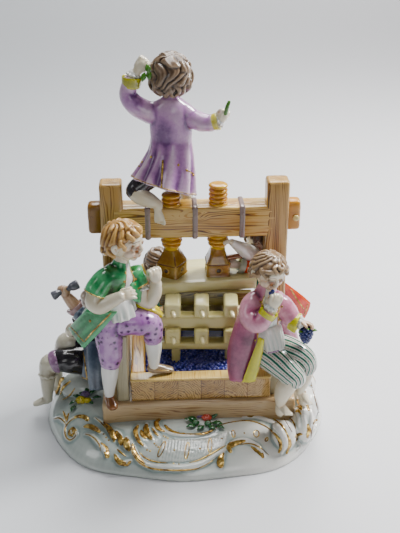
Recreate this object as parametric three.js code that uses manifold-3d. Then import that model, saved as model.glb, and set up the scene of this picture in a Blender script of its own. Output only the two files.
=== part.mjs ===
// A porcelain group in one piece: six children work a wine press on a scrolled base.
// Millimetres, +Z up, front towards -Y, origin under the middle of the whole group.
import * as THREE from 'three';
import { mergeVertices } from 'three/addons/utils/BufferGeometryUtils.js';
import Module from 'manifold-3d';

const wasm = await Module();
wasm.setup();

// Driving sizes, measured from a point under the middle of the top boy's beam
const BASE = { x: -10, y: 5, halfWide: 91, halfDeep: 82, power: 2.5, top: 18.5, lobes: 9, lobe: 1.0 };
const PRESS = { x: -3.4, y: 18, yaw: 3 };
const SOLE = { left: -60.5, right: 60.5, front: -57.5, back: 46, low: 12, high: 30.5 };
const TROUGH = { left: -42.3, right: 44.6, front: -54.5, back: 42, high: 46, wall: 9, grapes: 44 };
const CHEEK = { inner: 43.6, width: 7.4, back: -4, leftHigh: 77, rightHigh: 56 };
const POST = { away: 51.9, half: 7.1, high: 156, bevel: 2.2 };
const BEAM = { low: 119.5, high: 140, front: -7, back: 10, tenon: 8, band: 3.7, bandGap: 29.6 };
const SCREW = { away: 14.8, radius: 6.1, top: 153.5, turns: 5, leftTurns: 3,
  block: 7.6, low: 91, high: 101, yaws: [-32, 2] };
const BOARD = { x: 3.5, y: 22, yaw: 8, wide: 31, deep: 18, low: 84.6, high: 92 };
const CRIB = {
  rungs: [[-22.2, -12.2], [-3.7, 5.6], [14.9, 24]], left: -25.7, right: 24,
  upper: { front: -14.5, back: 47, low: 76, high: 85.4 },
  lower: { front: -18, back: 50, low: 58.6, high: 68.8 },
  rows: [-13, 37], beam: 9, beamHeights: [[67.2, 76.2], [51.8, 58]],
  feet: [[-18.2, -12.7], [16.1, 21]], footHeights: [42, 52.5],
  planks: [[1, 6, 76.5, 85.2], [0, 5, 58.2, 68.2]],
};
const CENTRE_SHIFT = { x: 14.45, y: -4.3 };
const JOIN_TOLERANCE = 0.3;

const UP = new THREE.Vector3(0, 0, 1);
const vector = (x, y, z) => new THREE.Vector3(x, y, z);
const radians = THREE.MathUtils.degToRad;

// Closed three.js geometry to a solid, without the slivers that poles leave
function solid(geometry) {
  geometry.deleteAttribute('normal');
  geometry.deleteAttribute('uv');
  const merged = mergeVertices(geometry, 1e-4);
  const index = merged.index.array;
  const triVerts = [];
  for (let i = 0; i < index.length; i += 3) {
    const [a, b, c] = [index[i], index[i + 1], index[i + 2]];
    if (a !== b && b !== c && c !== a) triVerts.push(a, b, c);
  }
  const vertProperties = new Float32Array(merged.attributes.position.array);
  const mesh = { numProp: 3, vertProperties, triVerts: new Uint32Array(triVerts),
    tolerance: JOIN_TOLERANCE };
  return new wasm.Manifold(new wasm.Mesh(mesh));
}

// Joins solids two by two, so that no join is larger than it needs to be
function join(solids) {
  if (solids.length === 1) return solids[0];
  const half = Math.floor(solids.length / 2);
  return join(solids.slice(0, half)).add(join(solids.slice(half)));
}

// Skin through a row of oval sections [x, y, z, halfWide, halfDeep], with domed ends
function loft(stations, sides, across = vector(1, 0, 0), ripple = () => 1) {
  const centres = stations.map(([x, y, z]) => vector(x, y, z));
  const positions = [];
  const last = stations.length - 1;
  const tangents = centres.map((_, i) => {
    const from = centres[Math.max(i - 1, 0)];
    return centres[Math.min(i + 1, last)].clone().sub(from).normalize();
  });
  stations.forEach(([, , , wide, deep = wide], i) => {
    const u = across.clone().addScaledVector(tangents[i], -across.dot(tangents[i])).normalize();
    const v = tangents[i].clone().cross(u);
    for (let k = 0; k < sides; k++) {
      const angle = (2 * Math.PI * k) / sides;
      const grow = ripple(angle, i / last);
      const point = centres[i].clone();
      point.addScaledVector(u, wide * grow * Math.cos(angle));
      point.addScaledVector(v, deep * grow * Math.sin(angle));
      positions.push(point.x, point.y, point.z);
    }
  });
  const dome = (i, sign) => {
    const [, , , wide, deep = wide] = stations[i];
    return centres[i].clone().addScaledVector(tangents[i], sign * 0.5 * Math.min(wide, deep));
  };
  positions.push(...dome(0, -1).toArray(), ...dome(last, 1).toArray());
  const first = stations.length * sides;
  const index = [];
  for (let k = 0; k < sides; k++) {
    const next = (k + 1) % sides;
    index.push(first, next, k);
    index.push(first + 1, last * sides + k, last * sides + next);
    for (let i = 0; i < last; i++) {
      const a = i * sides + k;
      const b = i * sides + next;
      index.push(a, b, b + sides, a, b + sides, a + sides);
    }
  }
  const geometry = new THREE.BufferGeometry();
  geometry.setAttribute('position', new THREE.Float32BufferAttribute(positions, 3));
  geometry.setIndex(index);
  return solid(geometry);
}

// Ellipsoid, its own +Z turned to the given direction
function ball([x, y, z], [rx, ry, rz], around = 8, down = 6, along = UP) {
  const geometry = new THREE.SphereGeometry(1, around, down);
  geometry.rotateX(Math.PI / 2);
  geometry.scale(rx, ry, rz);
  const turn = new THREE.Quaternion().setFromUnitVectors(UP, along.clone().normalize());
  geometry.applyQuaternion(turn);
  geometry.translate(x, y, z);
  return solid(geometry);
}

function block(x0, x1, y0, y1, z0, z1) {
  const geometry = new THREE.BoxGeometry(x1 - x0, y1 - y0, z1 - z0);
  geometry.translate((x0 + x1) / 2, (y0 + y1) / 2, (z0 + z1) / 2);
  return geometry;
}

// Body of revolution on a vertical axis, from [radius, height] points
function turned(profile, sides, x, y) {
  const geometry = new THREE.LatheGeometry(profile.map(([r, h]) => new THREE.Vector2(r, h)), sides);
  geometry.rotateX(Math.PI / 2);
  geometry.translate(x, y, 0);
  return geometry;
}

// The base: a low mound with a lobed edge, and its own coordinates for the relief
function rimRadius(angle) {
  const wide = Math.abs(Math.sin(angle) / BASE.halfWide) ** BASE.power;
  const deep = Math.abs(Math.cos(angle) / BASE.halfDeep) ** BASE.power;
  return (wide + deep) ** (-1 / BASE.power) + BASE.lobe * Math.cos(BASE.lobes * angle);
}

const rise = (share) => BASE.top * (1 - Math.min(share, 1) ** 5) ** 0.6;

function ground(x, y) {
  const angle = Math.atan2(x - BASE.x, BASE.y - y);
  return rise(Math.hypot(x - BASE.x, y - BASE.y) / rimRadius(angle));
}

// A place on the mound: degrees from the front towards +X, and millimetres in from the rim
function onMound(degreesRound, inset, lift = 0) {
  const angle = radians(degreesRound);
  const radius = rimRadius(angle) - inset;
  const x = BASE.x + radius * Math.sin(angle);
  const y = BASE.y - radius * Math.cos(angle);
  return [x, y, rise(radius / rimRadius(angle)) + lift];
}

function mound() {
  const shares = [1, 0.97, 0.88, 0.74];
  const sides = 32;
  const positions = [];
  for (const share of shares) {
    for (let k = 0; k < sides; k++) {
      const angle = (2 * Math.PI * k) / sides;
      const radius = share * rimRadius(angle);
      positions.push(BASE.x + radius * Math.sin(angle), BASE.y - radius * Math.cos(angle), rise(share));
    }
  }
  const top = shares.length * sides;
  positions.push(BASE.x, BASE.y, BASE.top, BASE.x, BASE.y, 0);
  const index = [];
  for (let k = 0; k < sides; k++) {
    const next = (k + 1) % sides;
    index.push(top + 1, next, k);
    index.push(top, top - sides + k, top - sides + next);
    for (let i = 0; i + 1 < shares.length; i++) {
      const a = i * sides + k;
      const b = i * sides + next;
      index.push(a, b, b + sides, a, b + sides, a + sides);
    }
  }
  const geometry = new THREE.BufferGeometry();
  geometry.setAttribute('position', new THREE.Float32BufferAttribute(positions, 3));
  geometry.setIndex(index);
  return solid(geometry);
}

// A raised scroll along a smooth curve through [degrees, inset] points, thickest at its middle
function scroll(points, thick, steps = 4) {
  const curve = new THREE.CatmullRomCurve3(points.map(([a, inset]) => vector(a, inset, 0)));
  const stations = [];
  for (let i = 0; i <= steps; i++) {
    const { x, y } = curve.getPoint(i / steps);
    const swell = thick * (0.45 + 0.55 * Math.sin((Math.PI * i) / steps));
    stations.push([...onMound(x, y, 0.1), swell, swell]);
  }
  return loft(stations, 4, UP);
}

function scrollwork() {
  const curves = [
    [[[-55, 10], [-59, 6], [-62, 12], [-60, 18], [-54, 17]], 1.9],
    [[[-26, 16], [-20, 6], [-10, 2.6], [3, 2.4], [14, 7]], 2.3],
    [[[-13, 31], [-3, 25], [8, 24], [20, 29], [33, 32], [43, 25], [45, 8], [41, 4]], 2.3],
    [[[49, 30], [53, 21], [50, 9], [45, 3]], 1.8],
    [[[22, 9], [30, 16], [36, 10], [37, 4]], 1.7],
    [[[-88, 6], [-78, 3], [-70, 4], [-64, 9]], 1.8],
  ];
  const backCurves = [
    [[[150, 6], [165, 4], [180, 8], [195, 4], [210, 6]], 2.0],
    [[[120, 8], [132, 16], [146, 10]], 1.8],
  ];
  return [...curves, ...backCurves].map(([points, thick]) => scroll(points, thick));
}

// The fluted band between the two long scrolls: short ribs that fan out
function flutes() {
  const ribs = [];
  for (let i = 0; i < 7; i++) {
    const at = -12 + i * 7;
    const foot = 6 + 0.006 * (at - 2) ** 2;
    const head = 21 + 0.12 * Math.max(at, 0);
    ribs.push(loft([[...onMound(at, foot), 1.5], [...onMound(at + 2, (foot + head) / 2), 2.0],
      [...onMound(at + 3, head), 1.3]], 4, UP));
  }
  return ribs;
}

// Leaves and flower heads in a front bunch and a left bunch
function flowers() {
  const made = [];
  for (const [at, inset, count] of [[13, 34, 2], [-72, 24, 2]]) {
    for (let i = 0; i < count; i++) {
      const turn = i - (count - 1) / 2;
      for (const [place, size, flat] of [[onMound(at + turn * 7, inset, 1), 3.2, 0.7],
        [onMound(at + turn * 10 + 3, inset - 5 + 7 * (i % 2), 0.3), 4.2, 0.45]]) {
        const bloom = new THREE.IcosahedronGeometry(size, 0);
        bloom.scale(1, 1, flat);
        bloom.translate(...place);
        made.push(solid(bloom));
      }
    }
  }
  return made;
}

// Rocks under the seated figures, and the crest of the base on the right with its fanned ribs
function rocks() {
  const lumps = [[66, 0, 15, 12, 17, 15], [52, -52, 14, 7.6, 8, 10.6], [65, -41, 14, 7.6, 8, 13.6],
    [-80, 0, 16, 14, 12, 10], [70, -20, 15, 7, 14, 11]];
  const ribs = [0, 1, 2, 3].map((i) => {
    const at = 70 + 11 * i;
    const high = 12 - 2.5 * Math.abs(i - 1);
    return loft([[...onMound(at + 2, 5), 2.3], [...onMound(at, 9, 0.6 * high), 2.1],
      [...onMound(at - 2, 11, high), 1.2]], 4, UP);
  });
  return [...lumps.map(([x, y, z, ...radii]) => ball([x, y, z], radii, 7, 5)), ...ribs];
}

// The wooden press, built square in its own frame and then turned into place
const pressPlace = new THREE.Matrix4().makeRotationZ(radians(PRESS.yaw));
pressPlace.setPosition(PRESS.x, PRESS.y, 0);
const pressed = (geometry) => solid(geometry.applyMatrix4(pressPlace));

function post(sign) {
  const outline = new THREE.Shape();
  const { half, high, bevel } = POST;
  outline.moveTo(-half, SOLE.high - 1);
  outline.lineTo(half, SOLE.high - 1);
  outline.lineTo(half, high - bevel);
  outline.lineTo(half - bevel, high);
  outline.lineTo(bevel - half, high);
  outline.lineTo(-half, high - bevel);
  const geometry = new THREE.ExtrudeGeometry(outline, { depth: 2 * half, bevelEnabled: false });
  geometry.rotateX(Math.PI / 2);
  geometry.rotateZ(Math.PI / 2);
  geometry.translate(sign * POST.away - half, 0, 0);
  return geometry;
}

function frame() {
  const parts = [];
  parts.push(block(SOLE.left, SOLE.right, SOLE.front, SOLE.back, SOLE.low, SOLE.high));
  parts.push(block(TROUGH.left, TROUGH.right, TROUGH.front, TROUGH.back, SOLE.high - 1, TROUGH.grapes));
  const { left, right, front, back, wall, high } = TROUGH;
  parts.push(block(left, right, front, front + wall, SOLE.high, high));
  parts.push(block(left, right, back - wall, back, SOLE.high, high));
  parts.push(block(left, left + wall, front, back, SOLE.high, high));
  parts.push(block(right - wall, right, front, back, SOLE.high, high));
  const outer = CHEEK.inner + CHEEK.width;
  parts.push(block(-outer, -CHEEK.inner, TROUGH.front, CHEEK.back, SOLE.high - 1, CHEEK.leftHigh));
  parts.push(block(CHEEK.inner, outer + 3, TROUGH.front + 3, CHEEK.back, SOLE.high - 1, CHEEK.rightHigh));
  parts.push(post(-1), post(1));
  const end = POST.away + POST.half + BEAM.tenon;
  parts.push(block(-POST.away, POST.away, BEAM.front, BEAM.back, BEAM.low, BEAM.high));
  parts.push(block(-end, end, BEAM.front + 4, BEAM.back - 5, BEAM.low + 2.5, BEAM.high + 2));
  for (const at of [-BEAM.bandGap, 0, BEAM.bandGap]) {
    const grow = 0.6;
    parts.push(block(at - BEAM.band / 2, at + BEAM.band / 2, BEAM.front - grow, BEAM.back + grow,
      BEAM.low - grow, BEAM.high + grow));
  }
  return parts.map(pressed);
}

function screw(sign) {
  const { radius, top, turns, leftTurns, block: half, low, high, yaws } = SCREW;
  const x = sign * SCREW.away;
  const start = BEAM.high - 1;
  const shown = sign < 0 ? leftTurns : turns;
  const pitch = (top - start) / turns;
  const thread = [[0, start]];
  for (let i = 0; i < shown; i++) {
    thread.push([radius - 1.2, start + i * pitch], [radius, start + (i + 0.5) * pitch]);
  }
  thread.push([radius - 1.2, start + shown * pitch], [0, start + shown * pitch]);
  const neck = [[0, high - 1], [half, high - 0.5], [radius - 0.4, high + 4], [radius - 1.2, high + 10],
    [radius + 0.8, high + 12], [radius + 0.6, BEAM.low + 1], [0, BEAM.low + 1]];
  const boxed = block(-half, half, -half, half, low, high);
  boxed.rotateZ(radians(yaws[sign < 0 ? 0 : 1]));
  boxed.translate(x, 0, 0);
  return [turned(thread, 8, x, 0), turned(neck, 8, x, 0), boxed].map(pressed);
}

// The crib of squared timbers under the press board, with a plank behind each row of rung ends
function crib() {
  const { rungs, left, right, upper, lower, rows, beam, beamHeights, feet, footHeights, planks } = CRIB;
  const board = block(-BOARD.wide, BOARD.wide, -BOARD.deep, BOARD.deep, BOARD.low, BOARD.high);
  board.rotateZ(radians(BOARD.yaw));
  board.translate(BOARD.x, BOARD.y, 0);
  const parts = [solid(board)];
  for (const [x0, x1] of rungs) {
    for (const { front, back, low, high } of [upper, lower]) {
      parts.push(solid(block(x0, x1, front, back, low, high)));
    }
    const peg = (x0 + x1) / 2 + 0.4;
    parts.push(loft([[peg, upper.front + 1, 80.3, 1.5], [peg + 0.5, upper.front - 2.9, 79, 1.3]], 4, UP));
  }
  for (const y of rows) {
    for (const [low, high] of beamHeights) parts.push(solid(block(left, right, y, y + beam, low, high)));
    for (const [x0, x1] of feet) parts.push(solid(block(x0, x1, y + 0.5, y + beam - 1, ...footHeights)));
  }
  for (const plank of planks) parts.push(solid(block(left, right, ...plank)));
  return parts;
}

// Grapes heaped in the trough: rows of berries before and behind the crib, alternate rows set over
function grapes() {
  const berries = [];
  for (const [row, y] of [[0, TROUGH.front + 12.5], [1, TROUGH.front + 19.5]]) {
    for (let i = 0; i < 9 - row; i++) {
      const swell = 0.4 + 0.5 * Math.sin(3.1 * i + 1.7 * row);
      const berry = new THREE.IcosahedronGeometry(3.9, 0);
      berry.rotateZ(i + row);
      berry.translate(-28 + i * 7.6 + row * 3.8, y, TROUGH.grapes + swell);
      berries.push(pressed(berry));
    }
  }
  return berries;
}

// A child's head, looking along the face vector: one skin, smooth in front and waved in locks elsewhere
function head(centre, look, size, around = 12) {
  const face = vector(...look).normalize();
  const side = face.clone().cross(UP).normalize();
  const crown = side.clone().cross(face).normalize();
  const geometry = new THREE.SphereGeometry(size, around, 7);
  geometry.rotateX(Math.PI / 2);
  const turn = new THREE.Matrix4().makeBasis(face.clone().negate(), side, crown);
  geometry.applyMatrix4(turn);
  const position = geometry.attributes.position;
  for (let i = 0; i < position.count; i++) {
    const point = vector(0, 0, 0).fromBufferAttribute(position, i);
    const forward = point.dot(face) / size;
    const up = point.dot(crown) / size;
    const round = Math.atan2(point.dot(side), -point.dot(face));
    const hair = forward < 0.45 || up > 0.55;
    const locks = 1.14 + 0.07 * Math.cos((around / 2) * round) * (1 - up * up);
    point.multiplyScalar(hair ? locks : 0.96);
    position.setXYZ(i, ...point.add(vector(...centre)));
  }
  const nose = vector(...centre).addScaledVector(face, size * 1.02).addScaledVector(crown, size * -0.15);
  return [solid(geometry), ball(nose.toArray(), [size * 0.16, size * 0.2, size * 0.26], 4, 3, crown)];
}

// Arm or leg through rings [x, y, z, radius]; an arm's last two rings are the fist
const limb = (stations, sides = 5) => loft(stations, sides, vector(0.3, 0.9, 0.3).normalize());

// Shoe or bare foot from heel to toe
const foot = (heel, toe, size = 3.6) => {
  const instep = heel.map((value, i) => (value + toe[i]) / 2);
  const toes = [...toe, size * 0.75, size * 0.6];
  return loft([[...heel, size * 0.9, size], [...instep, size, size * 0.95], toes], 5, UP);
};

// Coat skirts with deep folds that grow towards the hem
const skirt = (stations, across, folds = 6, sides = 12) => loft(stations, sides, across,
  (angle, share) => 1 + 0.1 * share * Math.cos(folds * angle));

// The boy on the beam, seen from behind, one arm raised to his head and one held out
function lookoutBoy() {
  const across = vector(1, 0, 0);
  return [
    ...head([-17.3, 18, 220.5], [0.05, 1, 0], 11),
    loft([[-17.5, 19, 176, 12.2, 9], [-17.5, 19, 190, 12.8, 9], [-17.3, 18.5, 199, 11.5, 8],
      [-17.2, 18, 203, 6, 5.5], [-17.2, 18, 209, 4.6, 4.6]], 8, across),
    skirt([[-17.5, 19, 179, 12.3, 9.3], [-18.5, 17.5, 169, 15, 12], [-22.5, 14, 153, 19.5, 16]], across),
    limb([[-27, 18, 196, 5.6], [-42, 16.5, 207, 5.4], [-40, 16, 220, 6.2], [-38.8, 16, 221.5, 4],
      [-35, 16, 226, 4.6], [-32.5, 16, 230, 4.6]]),
    limb([[-8, 18, 196, 5.6], [4, 14.5, 193.5, 5.2], [11.5, 12.5, 195, 5.4], [12.3, 12.3, 195.4, 3.6],
      [14.5, 11.8, 198, 4.6], [17, 11.2, 201.5, 4]]),
    limb([[16, 11.4, 201, 1.4], [18, 11, 209, 1.1]], 4),
    limb([[-27, 14, 158, 7], [-38, 9, 151.5, 5.4], [-36, 7.5, 148, 4.6], [-29, 5.5, 147.5, 3.4]]),
    foot([-27.5, 4.6, 147], [-24.5, 3.6, 134.5], 3.4),
    limb([[-12, 24, 156, 7], [-9, 36, 146, 5.4], [-9, 36, 130, 3.6]]),
    foot([-9, 35, 126], [-9, 44, 123], 3.5),
  ];
}

// The boy in front on the left, one foot on the trough, turned to the right
function treadingBoy() {
  const across = vector(0.8, 0.6, 0);
  return [
    ...head([-43.8, -36, 138.5], [0.84, -0.42, -0.34], 11),
    loft([[-52.5, -38, 98, 10, 8.5], [-50.5, -38.5, 108, 10.8, 8.5], [-48, -38, 118, 11.5, 8],
      [-46, -37.5, 122.5, 8, 6.5], [-45, -37, 129, 4.5, 4.5]], 8, across),
    skirt([[-50.5, -39, 104, 9.5, 8], [-50.5, -41, 87.5, 13, 11.5]], across),
    skirt([[-54, -37, 106, 10, 7], [-67, -32.5, 88, 10, 4], [-73, -30.5, 80, 9, 3]],
      vector(0.7, 0, -0.7), 5, 10),
    limb([[-55.5, -42, 118.5, 6], [-61.5, -46.5, 106.5, 6.4], [-57, -48.6, 103, 6.2],
      [-46, -50.5, 109.5, 3.6], [-42, -50, 112, 4.3], [-39, -49.4, 114, 3.8]]),
    limb([[-39.5, -31, 117.5, 6], [-33.8, -32, 102.5, 6], [-32.6, -32, 99.5, 5], [-26.6, -32, 106, 4.4],
      [-26.4, -32, 113, 4.4], [-27.4, -32, 118, 4.4]]),
    limb([[-54.5, -39, 84, 8.4], [-54, -41, 64, 7], [-54.5, -41, 58.5, 6.2], [-55.3, -41.5, 50, 5.1],
      [-56, -41.5, 38, 3.4]], 6),
    foot([-56.5, -40, 33.8], [-53, -47.5, 32.8], 3.9),
    limb([[-46, -38, 87, 8.4], [-30, -36, 84.5, 7.8], [-28.4, -35.5, 78, 6.4], [-28.4, -34, 67, 5.2],
      [-28.5, -32, 52.5, 3.5]], 6),
    foot([-29.5, -32, 49.4], [-17.5, -29.5, 48.4], 3.4),
  ];
}

// The boy seated in front on the right, eating grapes
function eatingBoy() {
  const across = vector(0.94, 0.34, 0);
  return [
    ...head([39.3, -36, 122], [-0.35, -0.8, -0.48], 10.4),
    loft([[38, -32, 60, 11.5, 10], [38, -34, 82, 10.5, 8.5], [38.5, -35, 95, 11, 8], [38.5, -35, 101, 9, 7],
      [38.5, -35.5, 106, 4.8, 4.8], [38.8, -36, 112, 4.5, 4.5]], 8, across),
    skirt([[32, -34, 90, 8, 7.5], [27, -36, 66, 10.5, 7.5], [26, -40, 47, 7.5, 3.6]], vector(1, 0, 0)),
    limb([[30.5, -37, 99, 6.4], [30, -46, 87, 6.4], [35, -49.5, 87, 6.2], [40.6, -48.6, 99, 5],
      [41.6, -47, 105, 4.6], [42.2, -45.6, 109, 4.2]]),
    limb([[47, -34.5, 98, 6], [53.5, -38, 86, 5.8], [59, -40.7, 85.2, 4.6], [62.5, -41.8, 86.2, 4.6],
      [65.5, -42.6, 87.4, 3.6]]),
    loft([[62.6, -42, 86, 4.4], [63, -42, 81, 4.6], [63.6, -42, 73.5, 1.4]], 6, vector(1, 0, 0)),
    limb([[38, -39, 63, 9.2], [58, -49.5, 54, 7.6], [59, -50, 48, 6], [53, -50.5, 38, 4.8],
      [50.8, -50.5, 30, 3.3]], 6),
    foot([50.4, -49.5, 27.6], [52, -57.5, 26.4], 3.4),
    limb([[46, -34, 64, 9], [66, -40, 60.5, 7.6], [67.5, -40.5, 54, 6], [65, -40.5, 43, 4.6],
      [64.6, -41, 33, 3.3]], 6),
    foot([64.6, -40, 30.4], [67, -47, 28.6], 3.4),
  ];
}

// The boy behind on the right, leaning in to turn the right-hand screw
function turningBoy() {
  const across = vector(0.5, -0.86, 0);
  return [
    ...head([41.4, 38, 105.4], [-0.8, -0.55, -0.25], 10.2, 10),
    loft([[51, 42, 58, 9.5, 8.5], [43, 39.5, 80, 10.5, 8.5], [39.5, 38.5, 89, 10.5, 8],
      [40, 38.3, 93.5, 8, 6], [41, 38, 99, 4.5, 4.5]], 8, across),
    skirt([[49, 42, 68, 10, 9], [58, 45, 50, 10, 10]], across),
    skirt([[58, 41, 70, 5, 3], [68, 42.5, 58, 8, 3], [68, 42.5, 49, 7, 2.6]], vector(1, 0, 0.3), 5, 8),
    limb([[36, 32, 88, 6], [31, 27, 91, 5.6], [25, 20, 95.5, 5.2], [21, 16, 99, 4.2], [18.6, 13.6, 101, 4]]),
    limb([[37, 31, 94, 6], [31, 26, 103, 5.2], [19.6, 16, 114, 3.8], [16.6, 13.6, 117.5, 3.8]]),
    limb([[13, 15, 100, 1.7], [30, 24, 101, 1.7]], 4),
    limb([[52, 44, 50, 8], [50, 41, 35, 6.4], [52, 45, ground(52, 45) + 5, 3.5]]),
    foot([53, 46, ground(53, 46) + 2.2], [46, 41, ground(46, 41) + 2.2]),
    limb([[60, 47, 50, 8], [60, 50, 33, 6.4], [60, 54, ground(60, 54) + 5, 3.5]]),
    foot([61, 55, ground(61, 55) + 2.2], [54, 51, ground(54, 51) + 2.2]),
  ];
}

// The boy behind on the left, sitting low and facing left with a mallet
function malletBoy() {
  const across = vector(0.25, -0.97, 0);
  return [
    ...head([-52, -6.5, 97], [-0.9, -0.35, -0.2], 10.2, 10),
    loft([[-71, 0, 34, 10, 9], [-62, -3, 64, 10.5, 8.5], [-58, -4, 78, 11, 8], [-55.5, -5, 84, 8, 6.5],
      [-53.5, -6, 91, 4.5, 4.5]], 8, across),
    skirt([[-68, -9, 60, 8, 5], [-70, -19, 28, 10.5, 4]], vector(1, 0, 0), 5, 10),
    limb([[-60.5, -12, 79, 6.2], [-74, -7.5, 75, 6], [-80, -5, 79.5, 5.6], [-84.5, -4.2, 86.5, 3.8],
      [-87.4, -3.8, 91.5, 4.2]]),
    loft([[-94, -7.5, 87, 4.2], [-90.5, -6.4, 88.5, 4], [-88, -5.6, 89.6, 2.1], [-82, -3.8, 92.2, 2.1],
      [-79.5, -3, 93.2, 4], [-76, -2, 94.6, 4.2]], 6, UP),
    limb([[-62, 4, 79, 6], [-76, 2, 67, 5.6], [-86, -5, 61, 4.4], [-91, -7, 55, 3.6]]),
    limb([[-76, -6, 35, 9], [-96, -9, 41, 6.6], [-99, -10, 35, 5], [-100.4, -12, 15, 3.3]]),
    foot([-100, -12, 12.8], [-109.5, -13, 10.8], 3.2),
    limb([[-76, 4, 37, 9], [-91, 3, 49, 6.4], [-95, 3.5, 36, 4.8], [-96, 4, 15, 3.3]]),
    foot([-95, 4, 12], [-104.5, 4.5, 10.2], 3.2),
  ];
}

// The child behind the crib, bent over the grapes
function stoopingChild() {
  const across = vector(1, 0.2, 0);
  return [
    ...head([-33.3, 42.5, 91], [0.2, -0.4, -0.9], 10, 10),
    loft([[-36, 60, 58, 9.5, 8], [-35, 53, 73, 10.5, 8], [-34, 48, 79, 8, 6.5],
      [-33.5, 45, 85, 4.4, 4.4]], 8, across),
    skirt([[-36, 60, 61, 9.5, 8.5], [-36, 64, 38, 15, 13.5]], across),
    limb([[-43.5, 53, 74, 5.6], [-42, 44, 63, 5.4], [-35, 37, 58.5, 3.6], [-30, 35, 56.5, 4]]),
    limb([[-26, 51, 74, 5.6], [-22, 45, 66, 5.4], [-19.5, 40, 60, 3.6], [-18.6, 37, 57, 4]]),
    limb([[-41, 63, 38, 6.5], [-41, 64, 30, 5.4], [-41, 65, ground(-41, 65) + 5, 3.4]]),
    foot([-41, 66, ground(-41, 66) + 2.2], [-43, 57, ground(-43, 57) + 2.2]),
    limb([[-31, 63, 38, 6.5], [-31, 64, 30, 5.4], [-31, 65, ground(-31, 65) + 5, 3.4]]),
    foot([-31, 66, ground(-31, 66) + 2.2], [-30, 57, ground(-30, 57) + 2.2]),
  ];
}

// Everything is fired as one body
const children = [lookoutBoy, treadingBoy, eatingBoy, turningBoy, malletBoy, stoopingChild];
const parts = [
  join([mound(), ...rocks(), ...scrollwork(), ...flutes(), ...flowers()]),
  join([...frame(), ...screw(-1), ...screw(1), ...crib(), ...grapes()]),
  ...children.map((make) => join(make())),
];
const whole = join(parts);
const { numProp, vertProperties, triVerts } = whole.getMesh();
const points = [];
for (let i = 0; i < vertProperties.length; i += numProp) {
  points.push(vertProperties[i], vertProperties[i + 1], vertProperties[i + 2]);
}
const geometry = new THREE.BufferGeometry();
geometry.setAttribute('position', new THREE.Float32BufferAttribute(points, 3));
geometry.setIndex([...triVerts]);
geometry.translate(CENTRE_SHIFT.x, CENTRE_SHIFT.y, 0);
geometry.computeVertexNormals();

const porcelain = new THREE.MeshStandardMaterial({ color: 0xe9ece6, roughness: 0.12, metalness: 0 });
const figureGroup = new THREE.Mesh(geometry, porcelain);
figureGroup.name = 'porcelain_group';

const group = new THREE.Group();
group.add(figureGroup);
export default group;
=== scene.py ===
# Porcelain group: six children at a screw wine press, on a low scrolled and gilded base.
# Every piece is drawn in millimetres, then turned into metres in the frame of the CAD model.
import math
import random

import bmesh
import bpy
import numpy as np
from mathutils import Matrix, Vector, noise
from mathutils.bvhtree import BVHTree


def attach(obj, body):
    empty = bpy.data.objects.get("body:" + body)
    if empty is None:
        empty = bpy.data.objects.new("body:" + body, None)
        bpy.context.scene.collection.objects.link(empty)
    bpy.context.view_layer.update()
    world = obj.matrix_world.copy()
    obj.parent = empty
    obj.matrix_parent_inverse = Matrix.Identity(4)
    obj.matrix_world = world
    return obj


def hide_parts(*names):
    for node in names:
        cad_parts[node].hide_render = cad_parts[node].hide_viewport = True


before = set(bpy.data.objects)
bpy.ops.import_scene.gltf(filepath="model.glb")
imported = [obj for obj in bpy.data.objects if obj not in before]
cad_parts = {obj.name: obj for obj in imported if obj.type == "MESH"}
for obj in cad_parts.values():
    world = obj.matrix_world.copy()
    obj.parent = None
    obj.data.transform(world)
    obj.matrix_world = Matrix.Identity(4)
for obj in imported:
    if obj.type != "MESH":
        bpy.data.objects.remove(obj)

scene = bpy.context.scene
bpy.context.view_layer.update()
millimetre = 0.001
centreShift = Vector((14.45, -4.3, 0))
toFrame = Matrix.Scale(millimetre, 4) @ Matrix.Translation(centreShift)


def inMetres(point):
    return toFrame @ Vector(point)


# Camera and studio

view = {"place": (0, -467.4, 333), "pitch": 26, "focalPixels": 830, "longSide": 533, "sensor": 36,
        "middle": (200, 266.5), "near": 0.02, "far": 50}
lamps = [
    {"name": "keyRight", "place": (560, 260, 720), "aim": (0, 0, 90), "size": 300, "power": 16.5},
    {"name": "ceiling", "place": (40, 240, 1050), "aim": (0, 0, 60), "size": 620, "power": 10},
    {"name": "windowLeft", "place": (-680, -260, 620), "aim": (0, 0, 90), "size": 300, "power": 0.6},
    {"name": "frontFill", "place": (160, -900, 420), "aim": (0, 0, 90), "size": 400, "power": 0.8},
    {"name": "farWash", "place": (0, 2300, 2100), "aim": (0, 1900, 0), "size": 1800, "power": 75},
]
# The paper's left and right colours paint it darker to the left and lighter to the right: painted shade from
# the light on the right
studio = {"radius": 4.2, "bend": 1.2, "high": 4, "drop": 0.0002, "lean": 0.28, "left": (0.5, 0.52, 0.54, 1),
          "right": (0.7, 0.7, 0.715, 1), "world": (0.66, 0.68, 0.72), "strength": 0.15}
tone = {"richness": 1.4, "depth": 0.72}


def aimed(place, aim):
    away = Vector(place) - Vector(aim)
    turn = away.to_track_quat("Z", "Y").to_matrix().to_4x4()
    return Matrix.Translation(inMetres(place)) @ turn


def makeCamera():
    data = bpy.data.cameras.new("photoCamera")
    data.sensor_width = view["sensor"]
    data.lens = view["sensor"] * view["focalPixels"] / view["longSide"]
    data.clip_start, data.clip_end = view["near"], view["far"]
    camera = bpy.data.objects.new("photoCamera", data)
    scene.collection.objects.link(camera)
    tilt = Matrix.Rotation(math.radians(90 - view["pitch"]), 4, "X")
    camera.matrix_world = Matrix.Translation(inMetres(view["place"])) @ tilt
    scene.camera = camera


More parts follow.
